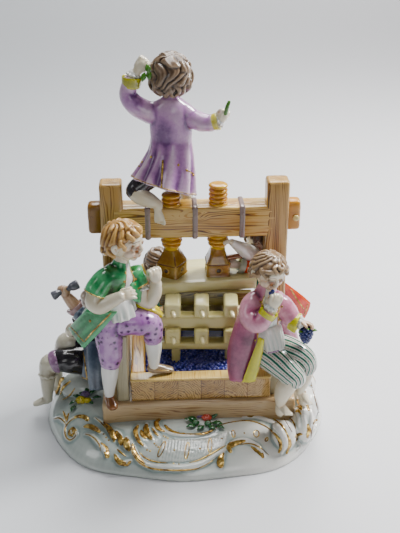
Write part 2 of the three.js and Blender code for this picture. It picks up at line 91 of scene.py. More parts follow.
def makeLamps():
    for lamp in lamps:
        data = bpy.data.lights.new(lamp["name"], "AREA")
        data.shape = "DISK"
        data.size = lamp["size"] * millimetre
        data.energy = lamp["power"]
        holder = bpy.data.objects.new(lamp["name"], data)
        holder.matrix_world = aimed(lamp["place"], lamp["aim"])
        scene.collection.objects.link(holder)
    world = bpy.data.worlds.new("softRoom")
    world.use_nodes = True
    background = world.node_tree.nodes["Background"]
    background.inputs["Color"].default_value = (*studio["world"], 1)
    background.inputs["Strength"].default_value = studio["strength"]
    scene.world = world


# Paint box: glazes, enamels, gilding and painted wood

def srgb(red, green, blue):
    def linear(value):
        share = value / 255
        return share / 12.92 if share <= 0.04045 else ((share + 0.055) / 1.055) ** 2.4
    tones = [linear(value) for value in (red, green, blue)]
    grey = 0.25 * tones[0] + 0.65 * tones[1] + 0.1 * tones[2]
    return (*(max(grey + (value - grey) * tone["richness"], 0.001) * tone["depth"] for value in tones), 1)


class Glaze:
    def __init__(self, name, roughness=0.17, coat=0.55, metallic=0.0):
        self.material = bpy.data.materials.new(name)
        self.material.use_nodes = True
        self.tree = self.material.node_tree
        self.shader = self.tree.nodes["Principled BSDF"]
        self.shader.inputs["Roughness"].default_value = roughness
        self.shader.inputs["Coat Weight"].default_value = coat
        self.shader.inputs["Coat Roughness"].default_value = 0.05
        self.shader.inputs["Metallic"].default_value = metallic

    def node(self, kind, inputs=(), **settings):
        made = self.tree.nodes.new(kind)
        for key, value in settings.items():
            setattr(made, key, value)
        for socket, value in dict(inputs).items():
            self.put(made.inputs[socket], value)
        return made

    def put(self, socket, value):
        if isinstance(value, bpy.types.NodeSocket):
            self.tree.links.new(value, socket)
        else:
            socket.default_value = value

    def maths(self, operation, *values, clamp=False):
        made = self.node("ShaderNodeMath", operation=operation, use_clamp=clamp)
        for socket, value in zip(made.inputs, values):
            self.put(socket, value)
        return made.outputs[0]

    def place(self, at=(0, 0, 0), turn=(0, 0, 0), size=(1, 1, 1)):
        where = self.node("ShaderNodeTexCoord").outputs["Object"]
        settings = {"Vector": where, "Location": inMetres(at), "Rotation": [math.radians(a) for a in turn]}
        settings["Scale"] = [s * millimetre for s in size]
        return self.node("ShaderNodeMapping", settings, vector_type="TEXTURE").outputs[0]

    def field(self, name, output="Fac"):
        return self.node("ShaderNodeAttribute", attribute_name=name).outputs[output]

    def clouds(self, scale, where=None, detail=3, roughness=0.55):
        where = where or self.place()
        settings = {"Vector": where, "Scale": scale, "Detail": detail, "Roughness": roughness}
        return self.node("ShaderNodeTexNoise", settings).outputs["Fac"]

    def span(self, value, low, high, toLow=0, toHigh=1, smooth=False):
        kind = "SMOOTHSTEP" if smooth else "LINEAR"
        settings = {"Value": value, "From Min": low, "From Max": high, "To Min": toLow, "To Max": toHigh}
        return self.node("ShaderNodeMapRange", settings, interpolation_type=kind).outputs[0]

    def mix(self, share, first, second):
        made = self.node("ShaderNodeMix", data_type="RGBA")
        for socket, value in ((0, share), (6, first), (7, second)):
            self.put(made.inputs[socket], value)
        return made.outputs[2]

    def ramp(self, value, stops):
        made = self.node("ShaderNodeValToRGB", {"Fac": value})
        steps = made.color_ramp.elements
        while len(steps) < len(stops):
            steps.new(0.5)
        for step, (where, colour) in zip(steps, stops):
            step.position = where
            step.color = colour
        return made.outputs["Color"]

    def finish(self, colour, bump=None, strength=0.2, depth=0.15, roughness=None):
        self.put(self.shader.inputs["Base Color"], colour)
        if roughness is not None:
            self.put(self.shader.inputs["Roughness"], roughness)
        if bump is not None:
            settings = {"Height": bump, "Strength": strength, "Distance": depth * millimetre}
            made = self.node("ShaderNodeBump", settings)
            self.put(self.shader.inputs["Normal"], made.outputs[0])
        return self.material


# Enamel laid over the glaze: lighter on high places and darker in hollows as painted shade, with soft dark
# clouds of painted shade at given places
def enamel(name, light, middle, dark, reach=0.10, roughness=0.2, shadePatched=(), brush=0.07):
    glaze = Glaze(name, roughness)
    share = glaze.span(glaze.field("fold"), -reach, reach, 0.1, 0.9)
    share = glaze.maths("ADD", share, glaze.span(glaze.clouds(0.5, detail=4), 0.3, 0.7, -brush, brush))
    share = glaze.maths("ADD", share, glaze.span(glaze.clouds(0.08, detail=2), 0.3, 0.7, -0.1, 0.12))
    # Each cloud darkens the enamel round its centre: painted shade
    for centre, size, strength in shadePatched:
        away = glaze.node("ShaderNodeVectorMath", {0: glaze.place(at=centre, size=size)},
                          operation="LENGTH").outputs["Value"]
        share = glaze.maths("ADD", share, glaze.span(away, 0.2, 1, strength, 0, True))
    colour = glaze.ramp(glaze.maths("ADD", share, 0, clamp=True),
                        [(0.12, light), (0.48, middle), (0.9, dark)])
    return glaze.finish(colour, glaze.clouds(0.9), 0.08)


# Bare porcelain under a clear glaze with a celadon tint: greener and darker in hollows, partly where the
# glaze lies thick and partly as painted shade, and painted darker towards the left and whiter towards the
# right, as painted shade
def whiteGlaze(name="whiteGlaze", leftShade=0.0):
    glaze = Glaze(name, 0.12, 0.8)
    hollow = glaze.span(glaze.field("fold"), -0.05, 0.16)
    share = glaze.maths("ADD", hollow, glaze.span(glaze.clouds(0.05), 0.3, 0.7, -0.08, 0.1))
    if leftShade:
        across = glaze.node("ShaderNodeSeparateXYZ", {0: glaze.place()}).outputs["X"]
        share = glaze.maths("ADD", share, glaze.span(across, -60, 75, leftShade, -0.1, True))
    stops = [(0.05, (0.78, 0.77, 0.72, 1)), (0.5, (0.6, 0.65, 0.6, 1)), (1, (0.3, 0.38, 0.36, 1))]
    return glaze.finish(glaze.ramp(glaze.maths("ADD", share, 0, clamp=True), stops),
                        glaze.clouds(0.25, detail=2), 0.08, 0.2)


def gilding(name="gilding"):
    glaze = Glaze(name, 0.2, 0.3, 0.7)
    # Random patches run from dark to bright yellow gold: wear mixed with painted highlights and painted
    # shade
    wearAndSheen = glaze.clouds(0.35, detail=4)
    colour = glaze.ramp(wearAndSheen,
                        [(0.36, (0.14, 0.07, 0.01, 1)), (0.5, (0.5, 0.29, 0.05, 1)),
                         (0.64, (0.95, 0.7, 0.22, 1))])
    return glaze.finish(colour, wearAndSheen, 0.3, 0.2, glaze.span(wearAndSheen, 0.3, 0.8, 0.3, 0.12))


# Painted wood: crisp brown grain along one axis over a straw ground, bent round a few knots, with painted
# shade in hollows and lighter ridges
def woodGrain(name, along, light, middle, dark, turn=(0, 0, 0), knots=1.0, gap=1.5, lines=1.0):
    glaze = Glaze(name, 0.3, 0.35)
    place = "XYZ".index(along)
    stretch, oval = [1, 1, 1], [1, 1, 1]
    stretch[place], oval[place] = 8, 2.6
    where = glaze.place(turn=turn, size=stretch)
    wander = glaze.node("ShaderNodeTexNoise", {"Vector": where, "Scale": 0.12, "Detail": 2}).outputs["Color"]
    moved = glaze.node("ShaderNodeVectorMath", {0: wander, 1: (9, 9, 9), 2: where},
                       operation="MULTIPLY_ADD").outputs[0]
    split = glaze.node("ShaderNodeSeparateXYZ", {0: moved})
    first, second = (axis for axis in "XYZ" if axis != along)
    cross = glaze.maths("ADD", split.outputs[first], glaze.maths("MULTIPLY", split.outputs[second], 0.87))
    cells = {"Vector": glaze.place(turn=turn, size=oval), "Scale": 0.055}
    spots = glaze.node("ShaderNodeTexVoronoi", cells).outputs["Distance"]
    cross = glaze.maths("ADD", cross, glaze.span(spots, 0.02, 0.3, 4.5 * knots, 0, True))
    phase = glaze.maths("MULTIPLY", cross, 2 * math.pi / gap)
    bold = glaze.span(glaze.maths("SINE", phase), 0.2, 0.95)
    thin = glaze.span(glaze.maths("SINE", glaze.maths("MULTIPLY", phase, 2.7)), 0.4, 1, 0, 0.4)
    broken = glaze.span(glaze.clouds(0.3, where), 0.36, 0.66, 0.1, 1)
    share = glaze.maths("MULTIPLY", glaze.maths("MULTIPLY", glaze.maths("ADD", bold, thin), broken),
                        0.72 * lines)
    share = glaze.maths("ADD", share, glaze.span(glaze.clouds(0.1, where, 2), 0.3, 0.7, -0.05, 0.3))
    share = glaze.maths("ADD", share, glaze.span(spots, 0.02, 0.07, 0.5 * knots, 0))
    # Darker in hollows and lighter on ridges: painted shade
    share = glaze.maths("ADD", share, glaze.span(glaze.field("fold"), -0.15, 0.25, -0.2, 0.3), clamp=True)
    colour = glaze.ramp(share, [(0.08, light), (0.38, middle), (0.85, dark)])
    return glaze.finish(colour, share, 0.12, 0.2)


# Shaping: closed skins through rows of rings, with the thinnest ring, the least gaps and the dome's angles

rings = {"thinnest": 0.12, "closest": 0.08, "bandStep": 0.12, "dome": (25, 50, 75)}


def smoothRows(stations, steps):
    rows = np.array([[*row, *[row[-1]] * (5 - len(row))] for row in stations], dtype=float)
    padded = np.vstack([2 * rows[0] - rows[1], rows, 2 * rows[-1] - rows[-2]])
    made = []
    for i in range(1, len(padded) - 2):
        before, here, there, after = padded[i - 1:i + 3]
        for t in np.arange(steps) / steps:
            bend = 2 * here + (there - before) * t + (2 * before - 5 * here + 4 * there - after) * t * t
            made.append(0.5 * (bend + (3 * here - before - 3 * there + after) * t ** 3))
    made.append(padded[-2])
    made = np.array(made)
    made[:, 3:] = np.maximum(made[:, 3:], rings["thinnest"])
    return made


def ringPlaces(stations, steps, across, dome, hem):
    rows = smoothRows(stations, steps)
    kept = [rows[0]]
    for row in rows[1:]:
        if np.linalg.norm(row[:3] - kept[-1][:3]) > rings["closest"]:
            kept.append(row)
    rows = kept
    centres = [Vector(row[:3]) for row in rows]
    sizes = [tuple(row[3:]) for row in rows]
    tangents = [(centres[min(i + 1, len(rows) - 1)] - centres[max(i - 1, 0)]).normalized()
                for i in range(len(rows))]
    places = []
    side = Vector(across).normalized()
    for centre, tangent, (wide, deep) in zip(centres, tangents, sizes):
        flat = side - tangent * side.dot(tangent)
        side = flat.normalized() if flat.length > 0.05 else tangent.orthogonal().normalized()
        places.append([centre, tangent, side.copy(), wide, deep])
    if dome:
        for end, sign in ((0, -1), (-1, 1)):
            centre, tangent, side, wide, deep = places[end]
            if sign > 0 and hem:
                extra = [[centre + tangent * 0.5, tangent, side, wide * 0.97, deep * 0.97],
                         [centre - tangent * 0.1, tangent, side, wide * 0.9, deep * 0.9],
                         [centre - tangent * hem, tangent, side, wide * 0.84, deep * 0.84]]
            else:
                reach = dome * min(wide, deep)
                extra = [[centre + tangent * sign * reach * math.sin(math.radians(a)), tangent, side,
                          wide * math.cos(math.radians(a)), deep * math.cos(math.radians(a))]
                         for a in rings["dome"]]
            places = extra[::-1] + places if sign < 0 else places + extra
    return places


# A closed skin through rings; each place holds a centre, a heading, a side, a width and a depth
def skinThrough(bm, places, sides, ripple=None, mark=False):
    skin = bmesh.new()
    if mark:
        layers = [skin.verts.layers.float.new(word) for word in ("roundX", "roundY", "along")]
    edges, before = None, None
    travelled, domes = 0, len(rings["dome"])
    for i, (centre, tangent, side, wide, deep) in enumerate(places):
        up = tangent.cross(side)
        matrix = Matrix((side * wide, up * deep, tangent)).transposed().to_4x4()
        matrix.translation = centre
        if i == 0:
            ring = bmesh.ops.create_circle(skin, cap_ends=True, segments=sides, radius=1)["verts"]
            bmesh.ops.transform(skin, matrix=matrix, verts=ring)
            edges = skin.edges[:]
        else:
            grown = bmesh.ops.extrude_edge_only(skin, edges=edges)["geom"]
            ring = [part for part in grown if isinstance(part, bmesh.types.BMVert)]
            edges = [part for part in grown if isinstance(part, bmesh.types.BMEdge)]
            bmesh.ops.transform(skin, matrix=matrix @ before.inverted(), verts=ring)
            travelled += (centre - places[i - 1][0]).length
        before = matrix
        if ripple or mark:
            back = matrix.inverted()
            share = min(max((i - domes) / max(len(places) - 2 * domes - 1, 1), 0), 1)
            for vert in ring:
                flat = back @ vert.co
                angle = math.atan2(flat.y, flat.x)
                outward = Vector((math.cos(angle), math.sin(angle), 0))
                if mark:
                    vert[layers[0]], vert[layers[1]], vert[layers[2]] = outward.x, outward.y, travelled
                if ripple:
                    vert.co = matrix @ (outward * ripple(angle, share))
    bmesh.ops.contextual_create(skin, geom=edges)
    bmesh.ops.recalc_face_normals(skin, faces=skin.faces)
    addTo(bm, skin)


def loft(bm, stations, sides=18, across=(1, 0, 0), steps=4, ripple=None, dome=0.7, hem=0, mark=False):
    skinThrough(bm, ringPlaces(stations, steps, across, dome, hem), sides, ripple, mark)


# Even flutes round a skin that may twist along it
def fluted(depth, count, twist=0):
    return lambda angle, share: 1 + depth * math.sin(count * angle + twist * share)


# A panel of cloth between four corners, with a belly and soft waves, of even thickness
def panel(bm, corners, thick=1.4, belly=(0, 0, 0), wave=0.0, waves=3, cuts=14):
    made = bmesh.new()
    bmesh.ops.create_grid(made, x_segments=cuts, y_segments=cuts, size=0.5)
    first, second, third, fourth = (Vector(corner) for corner in corners)
    push = Vector(belly)
    for vert in made.verts:
        s, t = vert.co.x + 0.5, vert.co.y + 0.5
        flat = (first * (1 - s) + second * s) * (1 - t) + (fourth * (1 - s) + third * s) * t
        swell = math.sin(math.pi * (0.15 + 0.7 * s)) * math.sin(math.pi * (0.1 + 0.8 * t))
        vert.co = flat + push * (swell + wave * t * math.sin(2 * math.pi * waves * s))
    bmesh.ops.recalc_face_normals(made, faces=made.faces)
    bmesh.ops.solidify(made, geom=made.verts[:] + made.edges[:] + made.faces[:], thickness=thick)
    bmesh.ops.recalc_face_normals(made, faces=made.faces)
    addTo(bm, made)


def addTo(bm, made):
    mesh = bpy.data.meshes.new("passing")
    made.to_mesh(mesh)
    made.free()
    bm.from_mesh(mesh)
    bpy.data.meshes.remove(mesh)


def ball(bm, centre, radii, along=None, detail=3, matrix=None):
    made = bmesh.new()
    bmesh.ops.create_icosphere(made, subdivisions=detail, radius=1)
    bmesh.ops.scale(made, vec=Vector(radii), verts=made.verts)
    if along is not None:
        turn = Vector((0, 0, 1)).rotation_difference(Vector(along)).to_matrix()
        bmesh.ops.rotate(made, matrix=turn, verts=made.verts)
    bmesh.ops.translate(made, vec=Vector(centre), verts=made.verts)
    if matrix:
        bmesh.ops.transform(made, matrix=matrix, verts=made.verts)
    addTo(bm, made)


def timber(bm, x0, x1, y0, y1, z0, z1, bevel=0.7, cuts=0, segments=3):
    made = bmesh.new()
    bmesh.ops.create_cube(made, size=1)
    bmesh.ops.scale(made, vec=(x1 - x0, y1 - y0, z1 - z0), verts=made.verts)
    bmesh.ops.translate(made, vec=((x0 + x1) / 2, (y0 + y1) / 2, (z0 + z1) / 2), verts=made.verts)
    bmesh.ops.bevel(made, geom=made.edges[:], offset=bevel, offset_type="OFFSET", affect="EDGES",
                    segments=segments, profile=0.5, material=-1)
    if cuts:
        long = [e for e in made.edges if e.calc_length() > 6]
        bmesh.ops.subdivide_edges(made, edges=long, cuts=cuts, use_grid_fill=True)
    addTo(bm, made)


# Smoothed outline minus the surface: positive in hollows, negative on ridges, in millimetres
def markFolds(mesh, rounds=6):
    count = len(mesh.vertices)
    places = np.empty(count * 3, dtype=np.float32)
    normals = np.empty(count * 3, dtype=np.float32)
    ends = np.empty(len(mesh.edges) * 2, dtype=np.int32)
    mesh.vertices.foreach_get("co", places)
    mesh.vertices.foreach_get("normal", normals)
    mesh.edges.foreach_get("vertices", ends)
    places, normals = places.reshape(-1, 3).astype(float), normals.reshape(-1, 3)
    first, second = ends.reshape(-1, 2).T
    links = np.maximum(np.bincount(first, minlength=count) + np.bincount(second, minlength=count), 1)

    def spread(values):
        total = np.bincount(first, values[second], count) + np.bincount(second, values[first], count)
        return total / links

    soft = places
    for _ in range(rounds):
        soft = np.stack([spread(soft[:, axis]) for axis in range(3)], axis=1)
    hollow = ((soft - places) * normals).sum(axis=1) / millimetre
    for _ in range(2):
        hollow = spread(hollow)
    field = mesh.attributes.new("fold", "FLOAT", "POINT")
    field.data.foreach_set("value", hollow.astype(np.float32))


def baked(piece):
    graph = bpy.context.evaluated_depsgraph_get()
    mesh = bpy.data.meshes.new_from_object(piece.evaluated_get(graph), depsgraph=graph)
    piece.modifiers.clear()
    old = piece.data
    piece.data = mesh
    bpy.data.meshes.remove(old)


# How strongly fused skins are softened, and how fine they stay on top of each piece's own share
fusing = {"soft": 0.5, "fineness": 0.62}


def finishPiece(bm, name, material, voxel=0.0, soften=0, keep=1.0, rounds=6):
    bmesh.ops.transform(bm, matrix=toFrame, verts=bm.verts)
    mesh = bpy.data.meshes.new(name)
    bm.to_mesh(mesh)
    bm.free()
    piece = bpy.data.objects.new(name, mesh)
    scene.collection.objects.link(piece)
    if voxel:
        fuse = piece.modifiers.new("fuse", "REMESH")
        fuse.mode = "VOXEL"
        fuse.voxel_size = voxel * millimetre
        if soften:
            smooth = piece.modifiers.new("soften", "SMOOTH")
            smooth.factor = fusing["soft"]
            smooth.iterations = soften
        baked(piece)
    markFolds(piece.data, rounds)
    if keep < 1:
        thin = piece.modifiers.new("thin", "DECIMATE")
        thin.ratio = keep * fusing["fineness"]
        baked(piece)
    piece.data.name = name
    piece.data.materials.clear()
    piece.data.materials.append(material)
    piece.data.shade_smooth()
    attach(piece, "root")
    return piece


# Surfaces that gilding and buttons are laid on
def surfaceOf(*pieces):
    return [BVHTree.FromObject(piece, bpy.context.evaluated_depsgraph_get()) for piece in pieces]


def laidOn(surfaces, point, lift=0.0):
    here = inMetres(point)
    best = min((tree.find_nearest(here) for tree in surfaces), key=lambda hit: hit[3] if hit[0] else 1e9)
    return toFrame.inverted() @ (best[0] + best[1] * lift * millimetre), best[1]


# Where a point of the picture meets the surfaces, as the camera sees it
def seenOn(surfaces, x, y, frameOf=toFrame):
    pitch = math.radians(view["pitch"])
    ahead, up = Vector((0, math.cos(pitch), -math.sin(pitch))), Vector((0, math.sin(pitch), math.cos(pitch)))
    across = (x - view["middle"][0]) / view["focalPixels"]
    upward = (y - view["middle"][1]) / view["focalPixels"]
    way = (ahead + Vector((1, 0, 0)) * across - up * upward).normalized()
    hits = [tree.ray_cast(frameOf @ Vector(view["place"]), way) for tree in surfaces]
    hits = [hit for hit in hits if hit[0]]
    if not hits:
        return None
    best = min(hits, key=lambda hit: hit[3])
    return frameOf.inverted() @ best[0], best[1]


# A flat band that lies along a surface; bias moves its widest part towards the end
def layBand(bm, hits, wide, thick=0.3, taper=0.25, bias=1.0):
    kept = hits[:1]
    for hit in hits[1:]:
        if (hit[0] - kept[-1][0]).length > rings["bandStep"]:
            kept.append(hit)
    if len(kept) < 3:
        return
    places, last = [], len(kept) - 1
    for i, (place, normal) in enumerate(kept):
        ahead = (kept[min(i + 1, last)][0] - kept[max(i - 1, 0)][0]).normalized()
        share = ((i + 0.5) / (last + 1)) ** bias
        swell = wide * (taper + (1 - taper) * math.sin(math.pi * share) ** 0.7)
        side = normal.cross(ahead)
        side = side.normalized() if side.length > 0.1 else ahead.orthogonal().normalized()
        places.append([place, ahead, side, swell, thick])
    skinThrough(bm, places, 8)


def strip(bm, surfaces, points, wide, thick=0.3, steps=4, taper=0.25):
    rows = smoothRows([(*point, 1, 1) for point in points], steps)
    layBand(bm, [laidOn(surfaces, row[:3]) for row in rows], wide, thick, taper)


# The same band drawn through picture points
def stroke(bm, surfaces, points, wide, thick=0.3, steps=5, taper=0.25, bias=1.0):
    rows = smoothRows([(x, y, 0, 1, 1) for x, y in points], steps)
    hits = [seenOn(surfaces, row[0], row[1]) for row in rows]
    layBand(bm, [hit for hit in hits if hit], wide, thick, taper, bias)


def spunPiece(profile, at, steps=40):
    bm = bmesh.new()
    verts = [bm.verts.new((radius, 0, height)) for radius, height in profile]
    edges = [bm.edges.new(pair) for pair in zip(verts, verts[1:])]
    bmesh.ops.spin(bm, geom=verts + edges, cent=(0, 0, 0), axis=(0, 0, 1), angle=2 * math.pi, steps=steps,
                   use_merge=True)
    bmesh.ops.remove_doubles(bm, verts=bm.verts, dist=0.01)
    bmesh.ops.recalc_face_normals(bm, faces=bm.faces)
    bmesh.ops.translate(bm, vec=at, verts=bm.verts)
    return bm


def makeStage():
    profile, radius, bend = [(0, 0)], studio["radius"], studio["bend"]
    profile += [(radius - bend + bend * math.sin(math.radians(a)), bend - bend * math.cos(math.radians(a)))
                for a in range(0, 91, 10)] + [(radius, studio["high"])]
    floor = spunPiece(profile, (0, 0, -studio["drop"]), 72)
    bmesh.ops.reverse_faces(floor, faces=[f for f in floor.faces if f.normal.z < 0])
    mesh = bpy.data.meshes.new("paperSweep")
    floor.to_mesh(mesh)
    floor.free()
    mesh.shade_smooth()
    paper = Glaze("palePaper", 0.8, 0)
    # Painted shade: the paper runs from a darker colour on the left to a lighter one on the right
    split = paper.node("ShaderNodeSeparateXYZ", {0: paper.node("ShaderNodeTexCoord").outputs["Object"]})
    away = paper.maths("ADD", paper.maths("ABSOLUTE", split.outputs["Y"]), 0.5)
    sideways = paper.maths("DIVIDE", split.outputs["X"], away)
    lean = paper.span(sideways, -studio["lean"], studio["lean"], 0, 1, True)
    mesh.materials.append(paper.finish(paper.ramp(lean, [(0, studio["left"]), (1, studio["right"])])))
    sweep = bpy.data.objects.new("paperSweep", mesh)
    scene.collection.objects.link(sweep)


makeCamera()
makeLamps()
makeStage()
print("studio ready")

# Base: a lobed mound with scrolls, flutes, a shell crest on the right, gilding and two bunches of flowers

base = {
    "middle": (-10, 5), "halfWide": 91, "halfDeep": 82, "power": 2.5, "top": 18.5, "lobes": 9, "lobe": 1.0,
    "segments": 144, "voxel": 0.6,
    "shares": (1, 0.997, 0.99, 0.98, 0.965, 0.945, 0.92, 0.89, 0.85, 0.8, 0.72, 0.6, 0.45, 0.3, 0.15, 0.05),
    "lumps": [((66, 0, 15), (12, 17, 15)), ((52, -52, 14), (7.6, 8, 10.6)), ((65, -41, 14), (7.6, 8, 13.6)),
              ((-80, 0, 16), (14, 12, 10)), ((70, -20, 15), (7, 14, 11))],
    "ridges": [
        (2.2, [(131, 441), (133, 451), (139.5, 460.5), (149, 465.5), (160, 467.3), (172, 467.6),
            (185, 467.5), (196, 465.5), (206, 461.5), (216, 455), (225, 449.5)]),
        (2.1, [(243, 417.6), (254, 417.4), (264, 419.6), (273, 424), (280, 430.5), (284.4, 438),
            (285, 446), (281.5, 453)]),
        (1.1, [(158, 421), (160.6, 427), (167, 432.4), (177, 435.4), (190, 436), (204, 434.4),
            (214, 430.4), (222, 425.6)]),
        (1.2, [(88, 418.6), (82, 415.6), (75, 417), (69, 421), (65.6, 426.6), (64.8, 433), (67, 438.6),
            (71, 440), (75.4, 437), (76.6, 432), (73.4, 428.4), (70, 431)]),
        (1.6, [(84, 426.4), (90, 426.4), (95.6, 429), (101, 433)]),
        (1.9, [(95, 418), (102, 423), (108, 428), (112.6, 434), (115, 441)]),
        (1.8, [(115.6, 430), (120, 436), (121.6, 445)]),
        (1.7, [(85, 434), (92, 436), (98, 442), (103, 449), (107.4, 457)]),
        (1.5, [(115, 455), (120.6, 462.6), (131.6, 460.6)]),
        (2.1, [(126.6, 437), (127, 444), (129.6, 451)]),
        (1.4, [(138.4, 425), (135.6, 432), (138, 440), (145, 447)]),
        (1.7, [(146.6, 423.6), (147.6, 432), (153, 440)]),
        (1.2, [(152.6, 427), (155, 432), (159, 437)]),
        (1.6, [(160, 419), (156.6, 424), (159, 430), (165, 433)]),
        (2.0, [(231, 452), (229.6, 446.4), (235, 442.4), (243, 440.6), (251, 442.6), (258, 447),
            (264.4, 456)]),
        (1.9, [(223.6, 453), (220.6, 460), (221, 468)]),
        (1.3, [(288, 416), (292.6, 421), (295.4, 429)]),
        (1.6, [(281, 414), (288, 417), (294, 424), (297.6, 433)]),
        (1.5, [(54, 418.6), (60, 418.4), (66, 424.4)]),
        (1.4, [(55, 396), (54.6, 388), (59, 381), (66, 377.4)]),
        (1.2, [(60, 395), (63, 387), (70, 381)]),
        (1.3, [(297, 396), (300, 405), (303, 414), (305, 424), (304, 433)]),
        (1.3, [(304, 384), (307, 395), (309.6, 406), (311, 418), (309.6, 432)]),
        (1.2, [(310.6, 381), (313.4, 392), (316.4, 403), (318.4, 413), (316, 425), (311, 436)]),
        (1.2, [(290, 399), (294, 407), (298, 416), (299, 427)]),
        (1.1, [(296, 440), (300, 446), (297, 451)]),
    ],
    "backScrolls": [
        ([(112, 4), (122, 12), (134, 15), (144, 9), (146, 4)], 1.9),
        ([(150, 10), (158, 4), (170, 2.6), (182, 3.4), (192, 9), (186, 14)], 2.1),
        ([(196, 14), (204, 5), (214, 3), (224, 5), (232, 12), (226, 16)], 1.9),
        ([(240, 4), (248, 10), (258, 12), (266, 6)], 1.7),
        ([(158, 22), (172, 26), (188, 25), (202, 21)], 1.5),
    ],
    "flutes": {"from": 160, "step": 3.15, "count": 21, "lean": 3.4, "thick": 0.62},
    "fluteFoot": [(150, 458), (165, 461), (180, 461.5), (195, 459.5), (205, 456), (215, 450.5), (230, 443)],
    "fluteHead": [(150, 440), (165, 440), (185, 440.5), (200, 440), (213, 437), (222, 431.5), (235, 426.5)],
    "crest": {"from": 62, "step": 6.2, "count": 8, "foot": 9, "high": 15},
}


def rimRadius(angle):
    wide = abs(math.sin(angle) / base["halfWide"]) ** base["power"]
    deep = abs(math.cos(angle) / base["halfDeep"]) ** base["power"]
    return (wide + deep) ** (-1 / base["power"]) + base["lobe"] * math.cos(base["lobes"] * angle)


def rise(share):
    return base["top"] * (1 - min(share, 1) ** 5) ** 0.6


def ground(x, y):
    across, along = x - base["middle"][0], base["middle"][1] - y
    return rise(math.hypot(across, along) / rimRadius(math.atan2(across, along)))


def onMound(degrees, inset, lift=0.0):
    angle = math.radians(degrees)
    radius = rimRadius(angle) - inset
    x = base["middle"][0] + radius * math.sin(angle)
    y = base["middle"][1] - radius * math.cos(angle)
    return x, y, rise(radius / rimRadius(angle)) + lift


def moundCurve(points, thick, lift=0.1, taper=0.5):
    rows = []
    last = len(points) - 1
    for i, (degrees, inset) in enumerate(points):
        swell = thick * (taper + (1 - taper) * math.sin(math.pi * (i + 0.4) / (last + 0.8)))
        rows.append((*onMound(degrees, inset, lift), swell))
    return rows


def makeBase():
    bm = bmesh.new()
    ring = bmesh.ops.create_circle(bm, cap_ends=True, segments=base["segments"], radius=1)["verts"]
    edges = bm.edges[:]
    for i, share in enumerate(base["shares"]):
        if i:
            grown = bmesh.ops.extrude_edge_only(bm, edges=edges)["geom"]
            ring = [part for part in grown if isinstance(part, bmesh.types.BMVert)]
            edges = [part for part in grown if isinstance(part, bmesh.types.BMEdge)]
        for vert in ring:
            x, y = vert.co.x - (base["middle"][0] if i else 0), vert.co.y - (base["middle"][1] if i else 0)
            angle = math.atan2(x, -y)
            radius = share * rimRadius(angle)
            vert.co = (base["middle"][0] + radius * math.sin(angle),
                       base["middle"][1] - radius * math.cos(angle), rise(share))
    bmesh.ops.contextual_create(bm, geom=edges)
    bmesh.ops.recalc_face_normals(bm, faces=bm.faces)
    for centre, radii in base["lumps"]:
        ball(bm, centre, radii)
    ribs = base["crest"]
    for i in range(ribs["count"]):
        at, lean = ribs["from"] + i * ribs["step"], abs(i - 2.5)
        loft(bm, [(*onMound(at + 3, ribs["foot"] - 5, -1), 1.5),
                  (*onMound(at + 1.6, ribs["foot"] - 2, 5), 2.0, 1.5),
                  (*onMound(at, ribs["foot"], ribs["high"] * 0.7 - lean), 1.7, 1.3),
                  (*onMound(at - 1.6, ribs["foot"] + 2, ribs["high"] - 1.7 * lean), 1.1, 1)], 10, (1, 0, 0),
                  4)
    bm.faces.ensure_lookup_table()
    bm.normal_update()
    mound = [BVHTree.FromBMesh(bm)]
    for thick, points in base["ridges"]:
        rows = smoothRows([(x, y, 0, 1, 1) for x, y in points], 5)
        hits = [seenOn(mound, row[0], row[1], Matrix()) for row in rows]
        places = [hit[0] for hit in hits if hit]
        last = max(len(places) - 1, 1)
        swells = [thick * (0.45 + 0.55 * math.sin(math.pi * i / last) ** 0.7) for i in range(len(places))]
        loft(bm, [(*place, swell) for place, swell in zip(places, swells)], 10, (0, 0, 1), 1)
    ribs = base["flutes"]
    for i in range(ribs["count"]):
        x = ribs["from"] + i * ribs["step"]
        foot, head = (np.interp(x, *zip(*base[line])) for line in ("fluteFoot", "fluteHead"))
        ends = [(x, foot), (x + ribs["lean"] * 0.65, (foot + head) / 2), (x + ribs["lean"], head)]
        places = [seenOn(mound, *end, Matrix()) for end in ends]
        loft(bm, [(*place[0], ribs["thick"]) for place in places if place], 8, (0, 0, 1), 4)
    for points, thick in base["backScrolls"]:
        loft(bm, moundCurve(points, thick), 10, (0, 0, 1), 4)
    return finishPiece(bm, "scrolledBase", whiteGlaze("baseGlaze", 0.55), base["voxel"], 1, 0.6)


